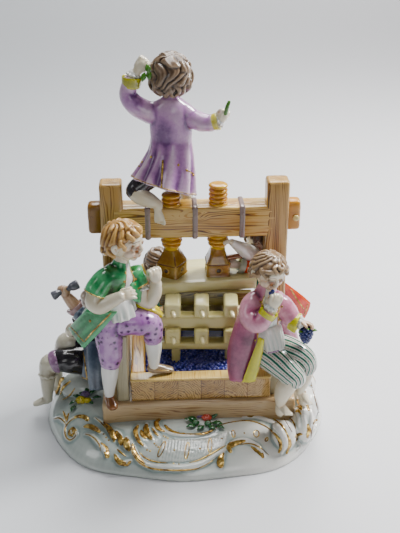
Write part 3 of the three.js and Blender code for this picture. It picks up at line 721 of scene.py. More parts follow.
gilt = {
    "bold": 1.25,
    "strokes": [
        (1.5, 1.4, [(74, 417), (80, 416.6), (85, 418), (88.6, 421)]),
        (0.45, 1, [(80, 417), (73, 419), (67.6, 423.6), (65, 430), (66, 436.6), (70, 440), (75, 436.6),
            (76.4, 432)]),
        (1.0, 1, [(76.4, 431), (73, 428.2), (69.6, 430), (69.4, 434), (73, 436.4)]),
        (1.0, 1, [(72, 430.4), (74.6, 432.6), (72, 434.4)]),
        (0.45, 1, [(54, 418.6), (59, 418), (63.6, 421), (66, 425)]),
        (0.7, 1, [(63, 411), (65, 416), (66, 421)]),
        (0.7, 1, [(69, 413), (67.4, 417), (67, 422)]),
        (1.35, 1, [(83.6, 426.6), (89, 426), (95, 428.6), (100.6, 432.6)]),
        (0.4, 1, [(95, 417.4), (100, 421.6), (105, 427), (110, 433), (112, 437)]),
        (1.5, 1.3, [(103.6, 422), (107.6, 427), (111, 432), (113.6, 440)]),
        (0.9, 1, [(108.6, 425.6), (113, 431), (115, 437), (113.6, 442)]),
        (1.5, 1.2, [(116, 431), (119, 436), (121, 441), (121, 445.6)]),
        (0.45, 1, [(85, 434), (90, 435.4), (95, 439), (99, 444), (101, 450.6)]),
        (2.0, 1.7, [(100.6, 442.6), (104.6, 446), (107.4, 451), (107.4, 458)]),
        (0.5, 1, [(117, 449), (121, 452.6), (126, 456.4)]),
        (1.4, 1, [(114.4, 454), (117, 459.4), (121.6, 463), (127, 464.4), (131, 461)]),
        (1.8, 0.9, [(126, 437.4), (126.4, 442), (127.4, 446.6), (130, 451)]),
        (1.2, 0.8, [(138.6, 425.4), (135.6, 429.4), (136, 434), (139, 441), (143.6, 446)]),
        (1.7, 0.9, [(146, 424), (146, 429), (148, 434.6), (152.4, 439.4)]),
        (1.3, 1, [(141, 430), (142.6, 434.6), (146, 438.6)]),
        (0.7, 1, [(152, 428), (155, 432.4), (158.4, 436)]),
        (1.3, 0.8, [(160.6, 418.6), (156.6, 421.6), (157, 426.4), (160, 429.4), (165, 431.4)]),
        (1.2, 0.7, [(164.6, 425), (170, 430.2), (176.6, 433), (184, 434), (194, 434), (203, 433.4),
            (210, 431.6), (215, 428.6)]),
        (0.4, 1, [(213, 430), (222, 424.6), (231, 422.2), (240, 420.8)]),
        (1.1, 0.7, [(132.4, 443.6), (134.6, 450.6), (138.4, 457.6), (145, 464)]),
        (0.6, 1, [(131, 448), (134, 456), (140, 463), (148, 467.4), (157, 469.4), (168, 470.2),
            (182, 470.3), (195, 469), (204, 465.8), (213.6, 459.6)]),
        (0.45, 1, [(139, 452), (144, 457), (150, 460.2), (158, 462.2), (168, 463)]),
        (0.55, 1.3, [(189, 463), (199, 460), (208, 455.6), (216, 451), (226, 445.2)]),
        (1.5, 0.8, [(231.4, 452.4), (229, 449), (230.4, 445.6), (235, 443.6), (240, 442), (245.6, 440.6)]),
        (0.4, 1, [(240, 445), (247, 443.4), (255, 445), (262, 449), (268.6, 455)]),
        (1.4, 1.2, [(251, 446.6), (256.6, 450.6), (261, 454.6), (263.6, 458)]),
        (1.9, 1.5, [(224, 453), (221, 457.6), (220.4, 462.6), (221.4, 468)]),
        (0.55, 1, [(230, 422.6), (240, 420.9), (248, 420.7), (256, 422.2), (264, 425.6), (272, 431),
            (277, 437)]),
        (1.2, 1.2, [(270, 429.6), (276, 435.6), (280, 441.6), (280.8, 447), (278.6, 453)]),
        (0.6, 1, [(266, 415.6), (273, 418.6), (280, 423.6), (285, 430), (288, 437), (289.4, 443)]),
        (1.2, 1.2, [(286.6, 433), (289, 440), (289.6, 446), (286.4, 454)]),
        (1.0, 1, [(258, 415.4), (264, 414.8), (270, 417.4)]),
        (0.9, 1, [(246.6, 415.4), (250, 416), (254.6, 415.2)]),
        (0.45, 1, [(288.4, 417), (292, 420), (294.6, 424.6), (295.6, 429)]),
        (1.1, 1, [(295, 437), (298, 434.6), (302.6, 434)]),
        (0.8, 1, [(296.6, 435), (296.6, 438), (296, 441)]),
        (1.3, 1, [(307.6, 424), (308.8, 430.6), (307.4, 438)]),
        (0.9, 1, [(313, 424.4), (315, 421), (317.4, 419.6)]),
        (1.2, 1, [(296.6, 399), (299, 404), (301.6, 410)]),
        (1.1, 1.2, [(305.6, 403.6), (308, 407), (309, 411)]),
        (1.1, 1, [(295.4, 411.6), (298.6, 410.6), (301.4, 414.6)]),
        (0.7, 1, [(289.6, 411.6), (293.6, 409), (297.6, 406.4)]),
        (0.45, 1, [(303, 387.6), (304.4, 388.4), (305.6, 389)]),
        (0.45, 1, [(303.6, 391), (305, 391.8), (306, 393)]),
        (0.5, 1, [(305, 396), (306.8, 397), (308, 399)]),
        (1.2, 1, [(56.4, 394), (55, 388), (58, 381.6), (64, 378)]),
        (0.8, 1, [(60, 394.6), (63.6, 387), (70.6, 381)]),
        (0.5, 1, [(62.6, 400), (70, 395), (75, 388)]),
        (1.2, 1, [(281.6, 406), (283, 410), (287, 413.6)]),
    ],
    "rings": [
        ((161.6, 449.2), 2, 8.4, 24), ((187, 450.6), 1.9, 8.2, 8), ((210, 445.4), 1.9, 7, 4),
        ((233.4, 433.8), 1.6, 3.6, -10), ((256.4, 433.6), 2.6, 3.4, 0), ((266.6, 439.4), 1.2, 2, 30),
    ],
    "dots": [
        (103.6, 434), (106.2, 437.4), (108.8, 440.2), (163.6, 436), (165.6, 437), (167.8, 438.2),
        (154.4, 443.6), (156.2, 445.4), (158.2, 447), (174.4, 450), (200, 448.6), (222, 438.6),
        (244.4, 433), (147, 450), (150, 451), (173.6, 463.6), (179, 464.2),
    ],
    "lines": [
        [(112, 2.6), (122, 10.4), (134, 13.4), (143, 8)],
        [(150, 8), (158, 2.4), (170, 1.2), (182, 1.8), (193, 8)],
        [(196, 12), (204, 3.4), (214, 1.6), (224, 3.4), (233, 11)],
        [(240, 2.6), (248, 8.6), (258, 10.4), (266, 4.4)],
        [(156, 23), (172, 27.4), (188, 26.4), (204, 21)], [(118, 20), (128, 24), (140, 20)],
        [(212, 22), (222, 25), (234, 19)],
    ],
    "edges": [
        [(311, 381.6), (313.4, 392), (316.2, 403), (318.6, 413)], [(313, 426), (311.4, 433), (311, 440)],
        [(283, 417), (288, 425), (292, 432)],
    ],
}


def ringOf(centre, wide, high, lean, count=14):
    turn = math.radians(lean)
    made = []
    for k in range(count + 1):
        angle = 2 * math.pi * k / count
        x, y = wide * math.cos(angle), high * math.sin(angle)
        made.append((centre[0] + x * math.cos(turn) - y * math.sin(turn),
                     centre[1] + x * math.sin(turn) + y * math.cos(turn)))
    return made


def gildBase(piece):
    surfaces = surfaceOf(piece)
    bm = bmesh.new()
    for wide, bias, points in gilt["strokes"]:
        stroke(bm, surfaces, points, wide * gilt["bold"], 0.36, 5, 0.2, bias)
    for centre, wide, high, lean in gilt["rings"]:
        stroke(bm, surfaces, ringOf(centre, wide, high, lean), 0.42, 0.3, 2, 0.9)
    for x, y in gilt["dots"]:
        place, normal = seenOn(surfaces, x, y)
        ball(bm, place, (0.65, 0.65, 0.35), normal, 2)
    for line in gilt["lines"]:
        strip(bm, surfaces, [onMound(*point, 1) for point in line], 1.1, 0.32, 5)
    ribs = base["crest"]
    for i in range(3, ribs["count"]):
        at = ribs["from"] + i * ribs["step"]
        strip(bm, surfaces, [onMound(at + 2, 5, 3), onMound(at, 7, 8), onMound(at - 1, 9, 12)], 0.9, 0.3, 4)
    dark = bmesh.new()
    for points in gilt["edges"]:
        stroke(dark, surfaces, points, 0.35, 0.25, 5, 0.6)
    finishPiece(dark, "baseEdges",
                enamel("edgeBrown", srgb(120, 86, 60), srgb(84, 56, 40), srgb(50, 34, 26)))
    return finishPiece(bm, "baseGilding", gilding("baseGold"))


posy = {
    "bunches": [
        {"leaves": [(192, 428, -7, 3), (195, 421, -5, -2), (216, 425, 7, 3), (214, 417, 5, -5),
                    (202, 429, -3, 5),
                                      (210, 429, 4, 5), (219, 429, 5, 4), (191, 422, -5, -1)],
         "blooms": [(200, 416.4, "Violet", 1.25), (206.6, 419, "Rose", 1.35), (195.6, 424, "Leaf", 1),
                    (208, 425, "Leaf", 1)]},
        {"leaves": [(78, 398, -7, -3), (82, 392, -3, -7), (92, 393, 6, -4), (96, 399, 6, 1), (90, 404, 4, 5),
                                     (76, 404, -4, 5), (75, 409, -1, 5), (86, 390, 1, -6)],
         "blooms": [(86, 395.4, "Violet", 1.3), (81.6, 401.6, "Yellow", 1.5), (88.4, 402, "Yellow", 1.1)]},
    ],
    "back": [(178, 24, 8), (228, 22, 6), (120, 26, 6)], "leafLong": 5.4, "petals": 6, "seed": 11,
}
petalPaints = {"Rose": ((206, 104, 90), (148, 44, 44), (84, 18, 24)),
               "Violet": ((130, 110, 150), (58, 36, 74), (24, 12, 34)),
               "Yellow": ((216, 202, 104), (176, 154, 54), (106, 84, 28))}


def leaf(bm, foot, heading, size, up=(0, 0, 1)):
    ahead = Vector(heading).normalized()
    side = ahead.cross(Vector(up)).normalized()
    top = side.cross(ahead).normalized()
    foot = Vector(foot)
    rows = []
    for share, wide, lift in ((0, 0.07, 0), (0.25, 0.26, 0.1), (0.55, 0.3, 0.16), (0.8, 0.18, 0.12),
                              (1, 0.03, 0)):
        rows.append((*(foot + ahead * size * share + top * size * lift), size * wide, size * 0.07))
    loft(bm, rows, 8, side, 2)


def bloom(bm, at, size):
    for p in range(posy["petals"]):
        angle = 2 * math.pi * p / posy["petals"]
        petal = at + Vector((math.cos(angle), math.sin(angle) * 0.8 - 0.2,
                             0.25 + 0.3 * math.sin(angle))) * 1.4 * size
        ball(bm, petal, (1.25 * size, 1.0 * size, 0.55 * size),
             (math.cos(angle) * 0.6, math.sin(angle) * 0.5 - 0.5, 1), 2)
    ball(bm, at + Vector((0, -0.3, 0.6)) * size, (0.85 * size, 0.85 * size, 0.7 * size), None, 2)


def makeFlowers(piece):
    draw = random.Random(posy["seed"])
    surfaces = surfaceOf(piece)
    green, blossoms = bmesh.new(), {name: bmesh.new() for name in petalPaints}
    for cluster in posy["bunches"]:
        for x, y, across, down in cluster["leaves"]:
            foot, normal = seenOn(surfaces, x - across * 0.5, y - down * 0.5)
            leaf(green, foot + normal * 0.6, (across, -down * 0.7, 1.2 - down * 0.25),
                 draw.uniform(5.2, 6.6), normal)
        for x, y, name, size in cluster["blooms"]:
            place, normal = seenOn(surfaces, x, y)
            bloom(blossoms.get(name, green), place + normal * 1.4, size)
    for degrees, inset, count in posy["back"]:
        for k in range(count):
            turn = 2 * math.pi * k / count + draw.uniform(-0.3, 0.3)
            reach = draw.uniform(1.5, 5.5)
            at, _ = laidOn(surfaces, onMound(degrees + math.cos(turn) * reach,
                                             inset + math.sin(turn) * reach * 0.8, 1), 0.3)
            leaf(green, at, (math.cos(turn) + 0.3, math.sin(turn) * 0.8, draw.uniform(0.15, 0.5)),
                 posy["leafLong"])
        for k, name in enumerate(("Rose", "Violet")):
            turn = 2.1 * k + degrees
            at, _ = laidOn(surfaces, onMound(degrees + 3.4 * math.cos(turn), inset + 2.6 * math.sin(turn),
                                             1), 1.2)
            bloom(blossoms[name], at, 1.1)
    finishPiece(green, "flowerLeaves",
                enamel("leafGreen", srgb(52, 98, 62), srgb(22, 62, 38), srgb(8, 30, 20)), rounds=3)
    for name, bm in blossoms.items():
        light, middle, dark = (srgb(*colour) for colour in petalPaints[name])
        finishPiece(bm, "flowers" + name, enamel("petal" + name, light, middle, dark), rounds=3)


porcelainBase = makeBase()
gildBase(porcelainBase)
makeFlowers(porcelainBase)
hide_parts("porcelain_group")
print("base ready")


# Press: sole, trough, posts, beam, screws, board, crib of timbers and the grapes

press = {"place": (-3.4, 18, 0), "yaw": 3}
pressPlace = Matrix.Translation(press["place"]) @ Matrix.Rotation(math.radians(press["yaw"]), 4, "Z")
sole = {"left": -60.5, "right": 60.5, "front": -57.5, "back": 46, "low": 12, "high": 30.5}
trough = {"left": -42.3, "right": 44.6, "front": -54.5, "back": 42, "high": 46, "wall": 9, "grapes": 43.4,
          "ends": 6, "seams": (131, 159, 188, 216, 243, 271)}
cheek = {"inner": 43.6, "width": 7.4, "back": -4, "leftHigh": 77, "rightHigh": 56}
post = {"away": 51.9, "half": 7.1, "high": 156, "bevel": 1.9}
beam = {"low": 119.5, "high": 140, "front": -7, "back": 10, "tenon": 8, "band": 3.7, "bandGap": 29.6}
screw = {"away": 14.8, "radius": 6.1, "top": 153.5, "turns": 5, "half": 7.6, "low": 91, "high": 101,
         "lip": 0.35, "hole": 1.5, "holeHigh": 96.4}
crib = {
    "rungs": ((-22.2, -12.2), (-3.7, 5.6), (14.9, 24)), "bevel": 1.5,
    "board": (-31, 31, -18, 18, 84.6, 92), "boardAt": (3.5, 22), "boardYaw": 8,
    "upper": (-14.5, 47, 76, 85.4), "lower": (-18, 50, 58.6, 68.8),
    "beams": ((-25.7, 23.4, -13, -4, 67.4, 76.1), (-25.7, 23.4, -13, -4, 51.8, 57.2),
              (-26, 24.5, 37, 46, 67.2, 76.2), (-26, 24.5, 37, 46, 51.8, 58.8)),
    "feet": ((-18.2, -12.7), (16.1, 21)), "footRows": ((-12.5, -5), (37.5, 45)), "footHigh": (42, 53),
    "planks": ((-26, 33, 1, 6, 76.5, 86), (-26, 33, 0, 5, 58.2, 68.2)),
}


# A worn timber face: slow waves and tool marks along the grain
def hewn(bm, along, depth=0.22):
    stretch = Vector((1, 1, 1))
    stretch["XYZ".index(along)] = 0.12
    bm.normal_update()
    for vert in bm.verts:
        vert.co += vert.normal * depth * noise.noise(vert.co * stretch * 0.42)


def woodPiece(name, boxes, along, paints, matrix=pressPlace, bevel=0.9, cuts=5, depth=0.22, **more):
    bm = bmesh.new()
    for box in boxes:
        timber(bm, *box, bevel=bevel, cuts=cuts)
    hewn(bm, along, depth)
    if matrix:
        bmesh.ops.transform(bm, matrix=matrix, verts=bm.verts)
    return finishPiece(bm, name,
                       woodGrain(name + "Paint", along, *paints, turn=(0, 0, press["yaw"]), **more))


# End grain of a row of blocks: arcs round a corner of each block, high and low in turn, fading to the right
def endGrain(name, wide, high, paints, at):
    glaze = Glaze(name, 0.2)
    split = glaze.node("ShaderNodeSeparateXYZ", {0: glaze.place(at=at, turn=(0, 0, press["yaw"]))})
    blocks = glaze.maths("DIVIDE", split.outputs["X"], wide)
    which = glaze.maths("FLOOR", blocks)
    local = glaze.maths("MULTIPLY", glaze.maths("FRACT", blocks), wide)
    odd = glaze.maths("MODULO", glaze.maths("ADD", which, 10), 2)
    chance = glaze.maths("FRACT", glaze.maths("MULTIPLY", which, 0.618))
    centre = glaze.maths("ADD", glaze.maths("MULTIPLY", odd, high * 1.3), -high * 0.15)
    across = glaze.maths("SUBTRACT", local, glaze.maths("SUBTRACT", glaze.maths("MULTIPLY", chance, 5), 3))
    upward = glaze.maths("SUBTRACT", split.outputs["Z"], centre)
    away = glaze.maths("SQRT", glaze.maths("ADD", glaze.maths("MULTIPLY", across, across),
                                           glaze.maths("MULTIPLY", upward, upward)))
    away = glaze.maths("ADD", away, glaze.span(glaze.clouds(0.12), 0.2, 0.8, -2.2, 2.2))
    rings = glaze.span(glaze.maths("SINE", glaze.maths("MULTIPLY", away, 2 * math.pi / 1.35)), 0.1, 0.95)
    broken = glaze.span(glaze.clouds(0.35), 0.34, 0.6, 0.15, 1)
    faded = glaze.span(blocks, 2, trough["ends"], 1, 0.55)
    share = glaze.maths("MULTIPLY", glaze.maths("MULTIPLY", rings, broken),
                        glaze.maths("MULTIPLY", faded, 0.9))
    share = glaze.maths("ADD", share, glaze.maths("MULTIPLY", chance, 0.24))
    heart = glaze.maths("MULTIPLY", glaze.span(away, 3.2, 0.5), 0.35)
    share = glaze.maths("ADD", share, heart)
    seam = glaze.span(local, 0.7, 0.1)
    share = glaze.maths("ADD", share, glaze.maths("MULTIPLY", seam, 0.5))
    share = glaze.maths("ADD", share, glaze.span(glaze.clouds(0.3), 0.3, 0.7, -0.12, 0.14), clamp=True)
    colour = glaze.ramp(share, [(0.06, paints[0]), (0.42, paints[1]), (0.92, paints[2])])
    return glaze.finish(colour, share, 0.15, 0.2)


def makeTrough():
    pink = (srgb(214, 190, 156), srgb(170, 138, 106), srgb(112, 82, 60))
    woodPiece("soleBoard", [(sole["left"], sole["right"], sole["front"], sole["back"], sole["low"],
                             sole["high"])],
              "X", pink, bevel=2.0, cuts=16, depth=0.35, knots=0.5, gap=1.25, lines=0.75)
    left, right, front, back = (trough[side] for side in ("left", "right", "front", "back"))
    wall, high, floor = trough["wall"], trough["high"], sole["high"] - 0.5
    wide = (right - left) / trough["ends"]
    ends = bmesh.new()
    timber(ends, left, right, front, front + wall, floor, high - 1.2, 0.8, 12, segments=2)
    hewn(ends, "Y", 0.18)
    bmesh.ops.transform(ends, matrix=pressPlace, verts=ends.verts)
    paints = (srgb(214, 182, 134), srgb(158, 120, 80), srgb(72, 46, 28))
    corner = pressPlace @ Vector((left, front, floor))
    finishPiece(ends, "troughEnds", endGrain("endGrainPaint", wide, high - floor, paints, corner))
    rail = (srgb(238, 212, 156), srgb(212, 174, 114), srgb(138, 94, 54))
    woodPiece("troughRail", [(left - 0.2, right + 0.2, front - 0.3, front + wall, high - 1.8, high)], "Y",
              rail, bevel=0.8, knots=0.2, gap=1.9, lines=0.8)
    walls = [(left, left + wall, front + wall - 0.4, back, floor, high),
             (right - wall, right, front + wall - 0.4, back,
             floor, high)]
    woodPiece("troughSides", walls, "Y", (srgb(222, 182, 116), srgb(184, 128, 70), srgb(112, 68, 36)),
              knots=0.4)
    woodPiece("troughBack", [(left, right, back - wall, back, floor, high)], "X", pink)
    outer = cheek["inner"] + cheek["width"]
    boards = [(-outer, -cheek["inner"], trough["front"], cheek["back"], floor, cheek["leftHigh"]),
              (cheek["inner"], outer + 3, trough["front"] + 3, cheek["back"], floor, cheek["rightHigh"])]
    woodPiece("cheekBoards", boards, "Z", (srgb(190, 182, 156), srgb(138, 128, 102), srgb(80, 70, 52)),
              bevel=1.4, knots=0.3, lines=0.5)


def makeFrame():
    half, low, high, away = post["half"], sole["high"] - 1, post["high"], post["away"]
    woodPiece("posts", [(sign * away - half, sign * away + half, -half, half, low, high)
                        for sign in (-1, 1)], "Z",
              (srgb(206, 172, 122), srgb(154, 114, 70), srgb(80, 52, 30)), bevel=post["bevel"], cuts=10,
              gap=1.3, knots=0.8, lines=1.1)
    end = away + half + beam["tenon"]
    woodPiece("crossBeam", [(-away, away, beam["front"], beam["back"], beam["low"], beam["high"])], "X",
              (srgb(228, 198, 142), srgb(190, 144, 88), srgb(92, 56, 30)), bevel=1.8, cuts=16, gap=1.7,
              knots=1.3, lines=1.2, depth=0.35)
    front, back = beam["front"] + 3, beam["back"] - 4
    # The left tenon takes darker tones than the right one: painted shade
    for sign, name, tones in ((-1, "leftTenon", ((150, 112, 66), (104, 68, 38), (56, 34, 20))),
                              (1, "rightTenon", ((206, 154, 88), (160, 104, 52), (96, 58, 28)))):
        ends = sorted((sign * (away + half - 2), sign * end))
        woodPiece(name, [(*ends, front, back, beam["low"] + 2.5, beam["high"] + 2)], "Y",
                  [srgb(*tone) for tone in tones], bevel=2.4, knots=0.2, lines=0.6)
    bands = bmesh.new()
    for at in (-beam["bandGap"], 0, beam["bandGap"]):
        timber(bands, at - beam["band"] / 2, at + beam["band"] / 2, beam["front"] - 0.7, beam["back"] + 0.7,
               beam["low"] - 0.7, beam["high"] + 0.7, 1.3, 3, segments=4)
        for z in (beam["low"] + 4.5, beam["high"] - 4.5):
            ball(bands, (at, beam["front"] - 0.7, z), (0.8, 0.4, 0.8), None, 2)
    hewn(bands, "Z", 0.12)
    bmesh.ops.transform(bands, matrix=pressPlace, verts=bands.verts)
    finishPiece(bands, "ironBands",
                enamel("ironPaint", srgb(150, 135, 130), srgb(108, 90, 88), srgb(60, 46, 46)))
    pegs = bmesh.new()
    for place, radii in (((end - 3.2, -5, 131), (2.1, 1.3, 2.1)),
                         ((end - 3.2, back + 1, 131), (2.1, 1.3, 2.1))):
        ball(pegs, place, radii)
    bmesh.ops.transform(pegs, matrix=pressPlace, verts=pegs.verts)
    finishPiece(pegs, "beamPegs",
                enamel("pegPaint", srgb(240, 222, 170), srgb(214, 184, 118), srgb(150, 108, 58)))


# A rounded outline that turns from a circle at share 0 to a square with slightly worn corners at share 1
def roundSquare(angle, share):
    power = 2 + 12 * share
    return (abs(math.cos(angle)) ** power + abs(math.sin(angle)) ** power) ** (-1 / power)


def neckRadius(share):
    return screw["radius"] - 1.3 + (screw["half"] - 0.3 - screw["radius"] + 1.3) * (1 - share) ** 2.1


def makeScrews():
    threads, heads, holes, lines = (bmesh.new() for _ in range(4))
    start, r, half, low, high = beam["high"] - 1, screw["radius"], screw["half"], screw["low"], screw["high"]
    pitch = (screw["top"] - start) / screw["turns"]
    for sign in (-1, 1):
        at = (sign * screw["away"], 0, 0)
        turns = 3 if sign < 0 else screw["turns"]
        core = [(0, start)]
        for k in range(turns):
            z = start + k * pitch
            core += [(r - 1.3, z + 0.2), (r - 0.4, z + 0.6), (r, z + pitch * 0.5),
                     (r - 0.4, z + pitch - 0.6), (r - 1.3, z + pitch - 0.15)]
        core += [(r - 2.6, start + turns * pitch), (0, start + turns * pitch + 0.1)]
        addTo(threads, spunPiece(core, at))
        collar = [(0, beam["low"] + 1), (r - 0.6, beam["low"] + 1)]
        for k, wide in enumerate((0.2, 0.9, 0.3)):
            z = beam["low"] - k * 2.6
            collar += [(r - 1.0, z), (r + wide - 0.3, z - 0.5), (r + wide, z - 1.25),
                       (r + wide - 0.3, z - 2.0), (r - 1.0, z - 2.5)]
        collar += [(r - 1.2, high + 9), (0, high + 9)]
        addTo(threads, spunPiece(collar[::-1], at))
        turn = Matrix.Translation(at) @ Matrix.Rotation(math.radians(-32 if sign < 0 else 2), 4, "Z")
        bell = bmesh.new()
        rows = [((0, 0, low - 0.3), half + screw["lip"]), ((0, 0, low + 0.5), half + screw["lip"]),
                ((0, 0, low + 1.4), half + screw["lip"] * 0.8), ((0, 0, low + 1.9), half - 0.1),
                ((0, 0, low + 5), half), ((0, 0, high - 0.6), half + 0.1), ((0, 0, high), half - 0.3)]
        rows += [((0, 0, high + 0.2 + 9.4 * t), neckRadius(t))
                 for t in (0.04, 0.12, 0.22, 0.35, 0.5, 0.68, 0.85, 1)]
        places = [[Vector(centre), Vector((0, 0, 1)), Vector((1, 0, 0)), wide, wide]
                  for centre, wide in rows]
        skinThrough(bell, places, 48)
        for vert in bell.verts:
            share = min(max((high + 8.5 - vert.co.z) / 7, 0), 1)
            grow = roundSquare(math.atan2(vert.co.y, vert.co.x), share)
            vert.co.x *= grow
            vert.co.y *= grow
        bell.normal_update()
        hewn(bell, "Z", 0.12)
        bmesh.ops.transform(bell, matrix=turn, verts=bell.verts)
        bell.normal_update()
        surface = BVHTree.FromBMesh(bell)
        addTo(heads, bell)
        for corner in range(4):
            angle = math.radians(45 + 90 * corner)
            ridge = []
            for t in np.linspace(0, 0.6, 7):
                reach = neckRadius(t)
                ridge.append(turn @ Vector((math.cos(angle) * reach * 1.3, math.sin(angle) * reach * 1.3,
                                            high + 9.4 * t)))
            side = Matrix.Rotation(math.radians(90 * corner), 4, "Z")
            edge = [turn @ side @ Vector((x, -half - 1, high - 0.2))
                    for x in np.linspace(-half + 0.6, half - 0.6, 7)]
            for path, wide, taper in ((ridge, 0.42, 0.5), (edge, 0.4, 0.7)):
                layBand(lines, [surface.find_nearest(place)[:2] for place in path], wide, 0.22, taper)
            rim = [(0, -0.8), (screw["hole"] - 0.3, -0.8), (screw["hole"] - 0.1, 0.15),
                   (screw["hole"] + 0.5, 0.35), (screw["hole"] + 1.0, 0), (screw["hole"] + 1.0, -0.9),
                   (0, -0.9)]
            lay = turn @ side @ Matrix.Translation((0, -half,
                                                    screw["holeHigh"])) @ Matrix.Rotation(math.radians(90),
                                                            4, "X")
            made = spunPiece(rim, (0, 0, 0), 24)
            bmesh.ops.transform(made, matrix=lay, verts=made.verts)
            addTo(heads, made)
            # A dark disc in each hole stands in for the shade inside it: painted shade
            ball(holes, (0, 0, -0.1), (screw["hole"], screw["hole"], 0.35), None, 2, lay)
    for bm, name, tones in ((threads, "screwThreads", ((240, 206, 122), (206, 152, 66), (128, 80, 30))),
                            (heads, "screwHeads", ((206, 178, 116), (158, 122, 64), (92, 64, 34))),
                            (holes, "screwHoles", ((60, 40, 24), (34, 20, 14), (16, 10, 8))),
                            (lines, "screwLines", ((130, 92, 50), (96, 62, 32), (60, 36, 20)))):
        bmesh.ops.transform(bm, matrix=pressPlace, verts=bm.verts)
        finishPiece(bm, name, enamel(name + "Paint", *(srgb(*tone) for tone in tones), reach=1.6))


def makeCrib():
    cream = (srgb(236, 230, 184), srgb(214, 202, 148), srgb(146, 132, 88))
    olive = (srgb(220, 212, 162), srgb(190, 178, 126), srgb(118, 106, 70))
    shade = (srgb(132, 120, 78), srgb(90, 76, 46), srgb(46, 36, 24))
    turn = Matrix.Translation((*crib["boardAt"], 0)) @ Matrix.Rotation(math.radians(crib["boardYaw"]), 4,
            "Z")
    soft = {"knots": 0.15, "gap": 2.4, "lines": 0.35}
    woodPiece("pressBoard", [crib["board"]], "X", cream, turn, crib["bevel"], 8, **soft)
    for name, tones in (("upper", cream), ("lower", olive)):
        y0, y1, z0, z1 = crib[name]
        woodPiece(name + "Rungs", [(x0, x1, y0, y1, z0, z1) for x0, x1 in crib["rungs"]], "Y", tones, None,
                  crib["bevel"], 6, **soft)
    woodPiece("cribBeams", crib["beams"], "X", olive, None, crib["bevel"], 6, **soft)
    z0, z1 = crib["footHigh"]
    woodPiece("cribFeet", [(x0, x1, y0, y1, z0, z1) for x0, x1 in crib["feet"]
                           for y0, y1 in crib["footRows"]], "Z",
              olive, None, 0.9, 3, **soft)
    # Dark planks behind the rungs, in shade tones, so the gaps read dark: painted shade
    woodPiece("cribPlanks", crib["planks"], "X", shade, None, 0.6, 4)
    pegs = bmesh.new()
    for x0, x1 in crib["rungs"]:
        x = (x0 + x1) / 2
        for y, z in ((crib["upper"][0], 80.6), (crib["lower"][0], 63.6)):
            loft(pegs, [(x + 0.2, y + 1, z, 1.7), (x + 0.6, y - 2, z - 1, 1.6),
                        (x + 0.9, y - 3.6, z - 1.6, 1.3)], 12)
    finishPiece(pegs, "cribPegs",
                enamel("cribPegPaint", srgb(240, 232, 190), srgb(206, 192, 140), srgb(124, 108, 70)))


grape = {"radius": 1.3, "step": 2.6, "jitter": 0.5, "seed": 5}


def makeGrapes():
    draw = random.Random(grape["seed"])
    heap = bmesh.new()
    left, right = trough["left"] + trough["wall"] - 0.5, trough["right"] - trough["wall"] + 0.5
    front, back = trough["front"] + trough["wall"] - 0.5, trough["back"] - trough["wall"] + 0.5
    timber(heap, left, right, front, back, sole["high"], trough["grapes"] - 2, 0.5)
    for row in range(int((back - front) / grape["step"])):
        y = front + (row + 0.5) * grape["step"]
        covered = 34 < row * grape["step"] < 70
        balls = bmesh.new()
        for column in range(int((right - left) / grape["step"])):
            x = left + (column + 0.5 + 0.5 * (row % 2)) * grape["step"]
            if covered and -24 < x < 24:
                continue
            swell = 1.3 * noise.noise(Vector((x, y, 0)) * 0.12) + 0.6
            lift = Vector((draw.uniform(-1, 1), draw.uniform(-1, 1), draw.uniform(-1, 1))) * grape["jitter"]
            at = Vector((x, y, trough["grapes"] - 0.6 + swell)) + lift
            size = grape["radius"] * draw.uniform(0.85, 1.15)
            bmesh.ops.create_icosphere(balls, subdivisions=2, radius=size, matrix=Matrix.Translation(at))
        addTo(heap, balls)
    bmesh.ops.transform(heap, matrix=pressPlace, verts=heap.verts)
    # The grape tops are painted lighter and the gaps between them near black: painted highlight and painted
    # shade
    navy = enamel("grapeBlue", srgb(64, 68, 150), srgb(16, 16, 66), srgb(2, 2, 12), 0.05, 0.05, brush=0.02)
    return finishPiece(heap, "grapeHeap", navy, rounds=5)


makeTrough()
makeFrame()
makeScrews()
makeCrib()
makeGrapes()
print("press ready")


# Children: skin, hair and clothes are skins through rings, fused and softened, then painted

def headFrame(centre, look, size, roll=0.0):
    forward = Vector(look).normalized()
    side = forward.cross(Vector((0, 0, 1))).normalized()
    crown = side.cross(forward).normalized()
    matrix = Matrix((side * size, forward * size, crown * size)).transposed().to_4x4()
    matrix.translation = Vector(centre)
    return matrix @ Matrix.Rotation(math.radians(roll), 4, "Y")


face = {
    "skull": ((0, -0.04, 0.08), (0.86, 0.93, 0.92)), "jaw": ((0, 0.26, -0.42), (0.6, 0.58, 0.5)),
    "eye": (0.34, 0.02), "voxel": 0.36,
}


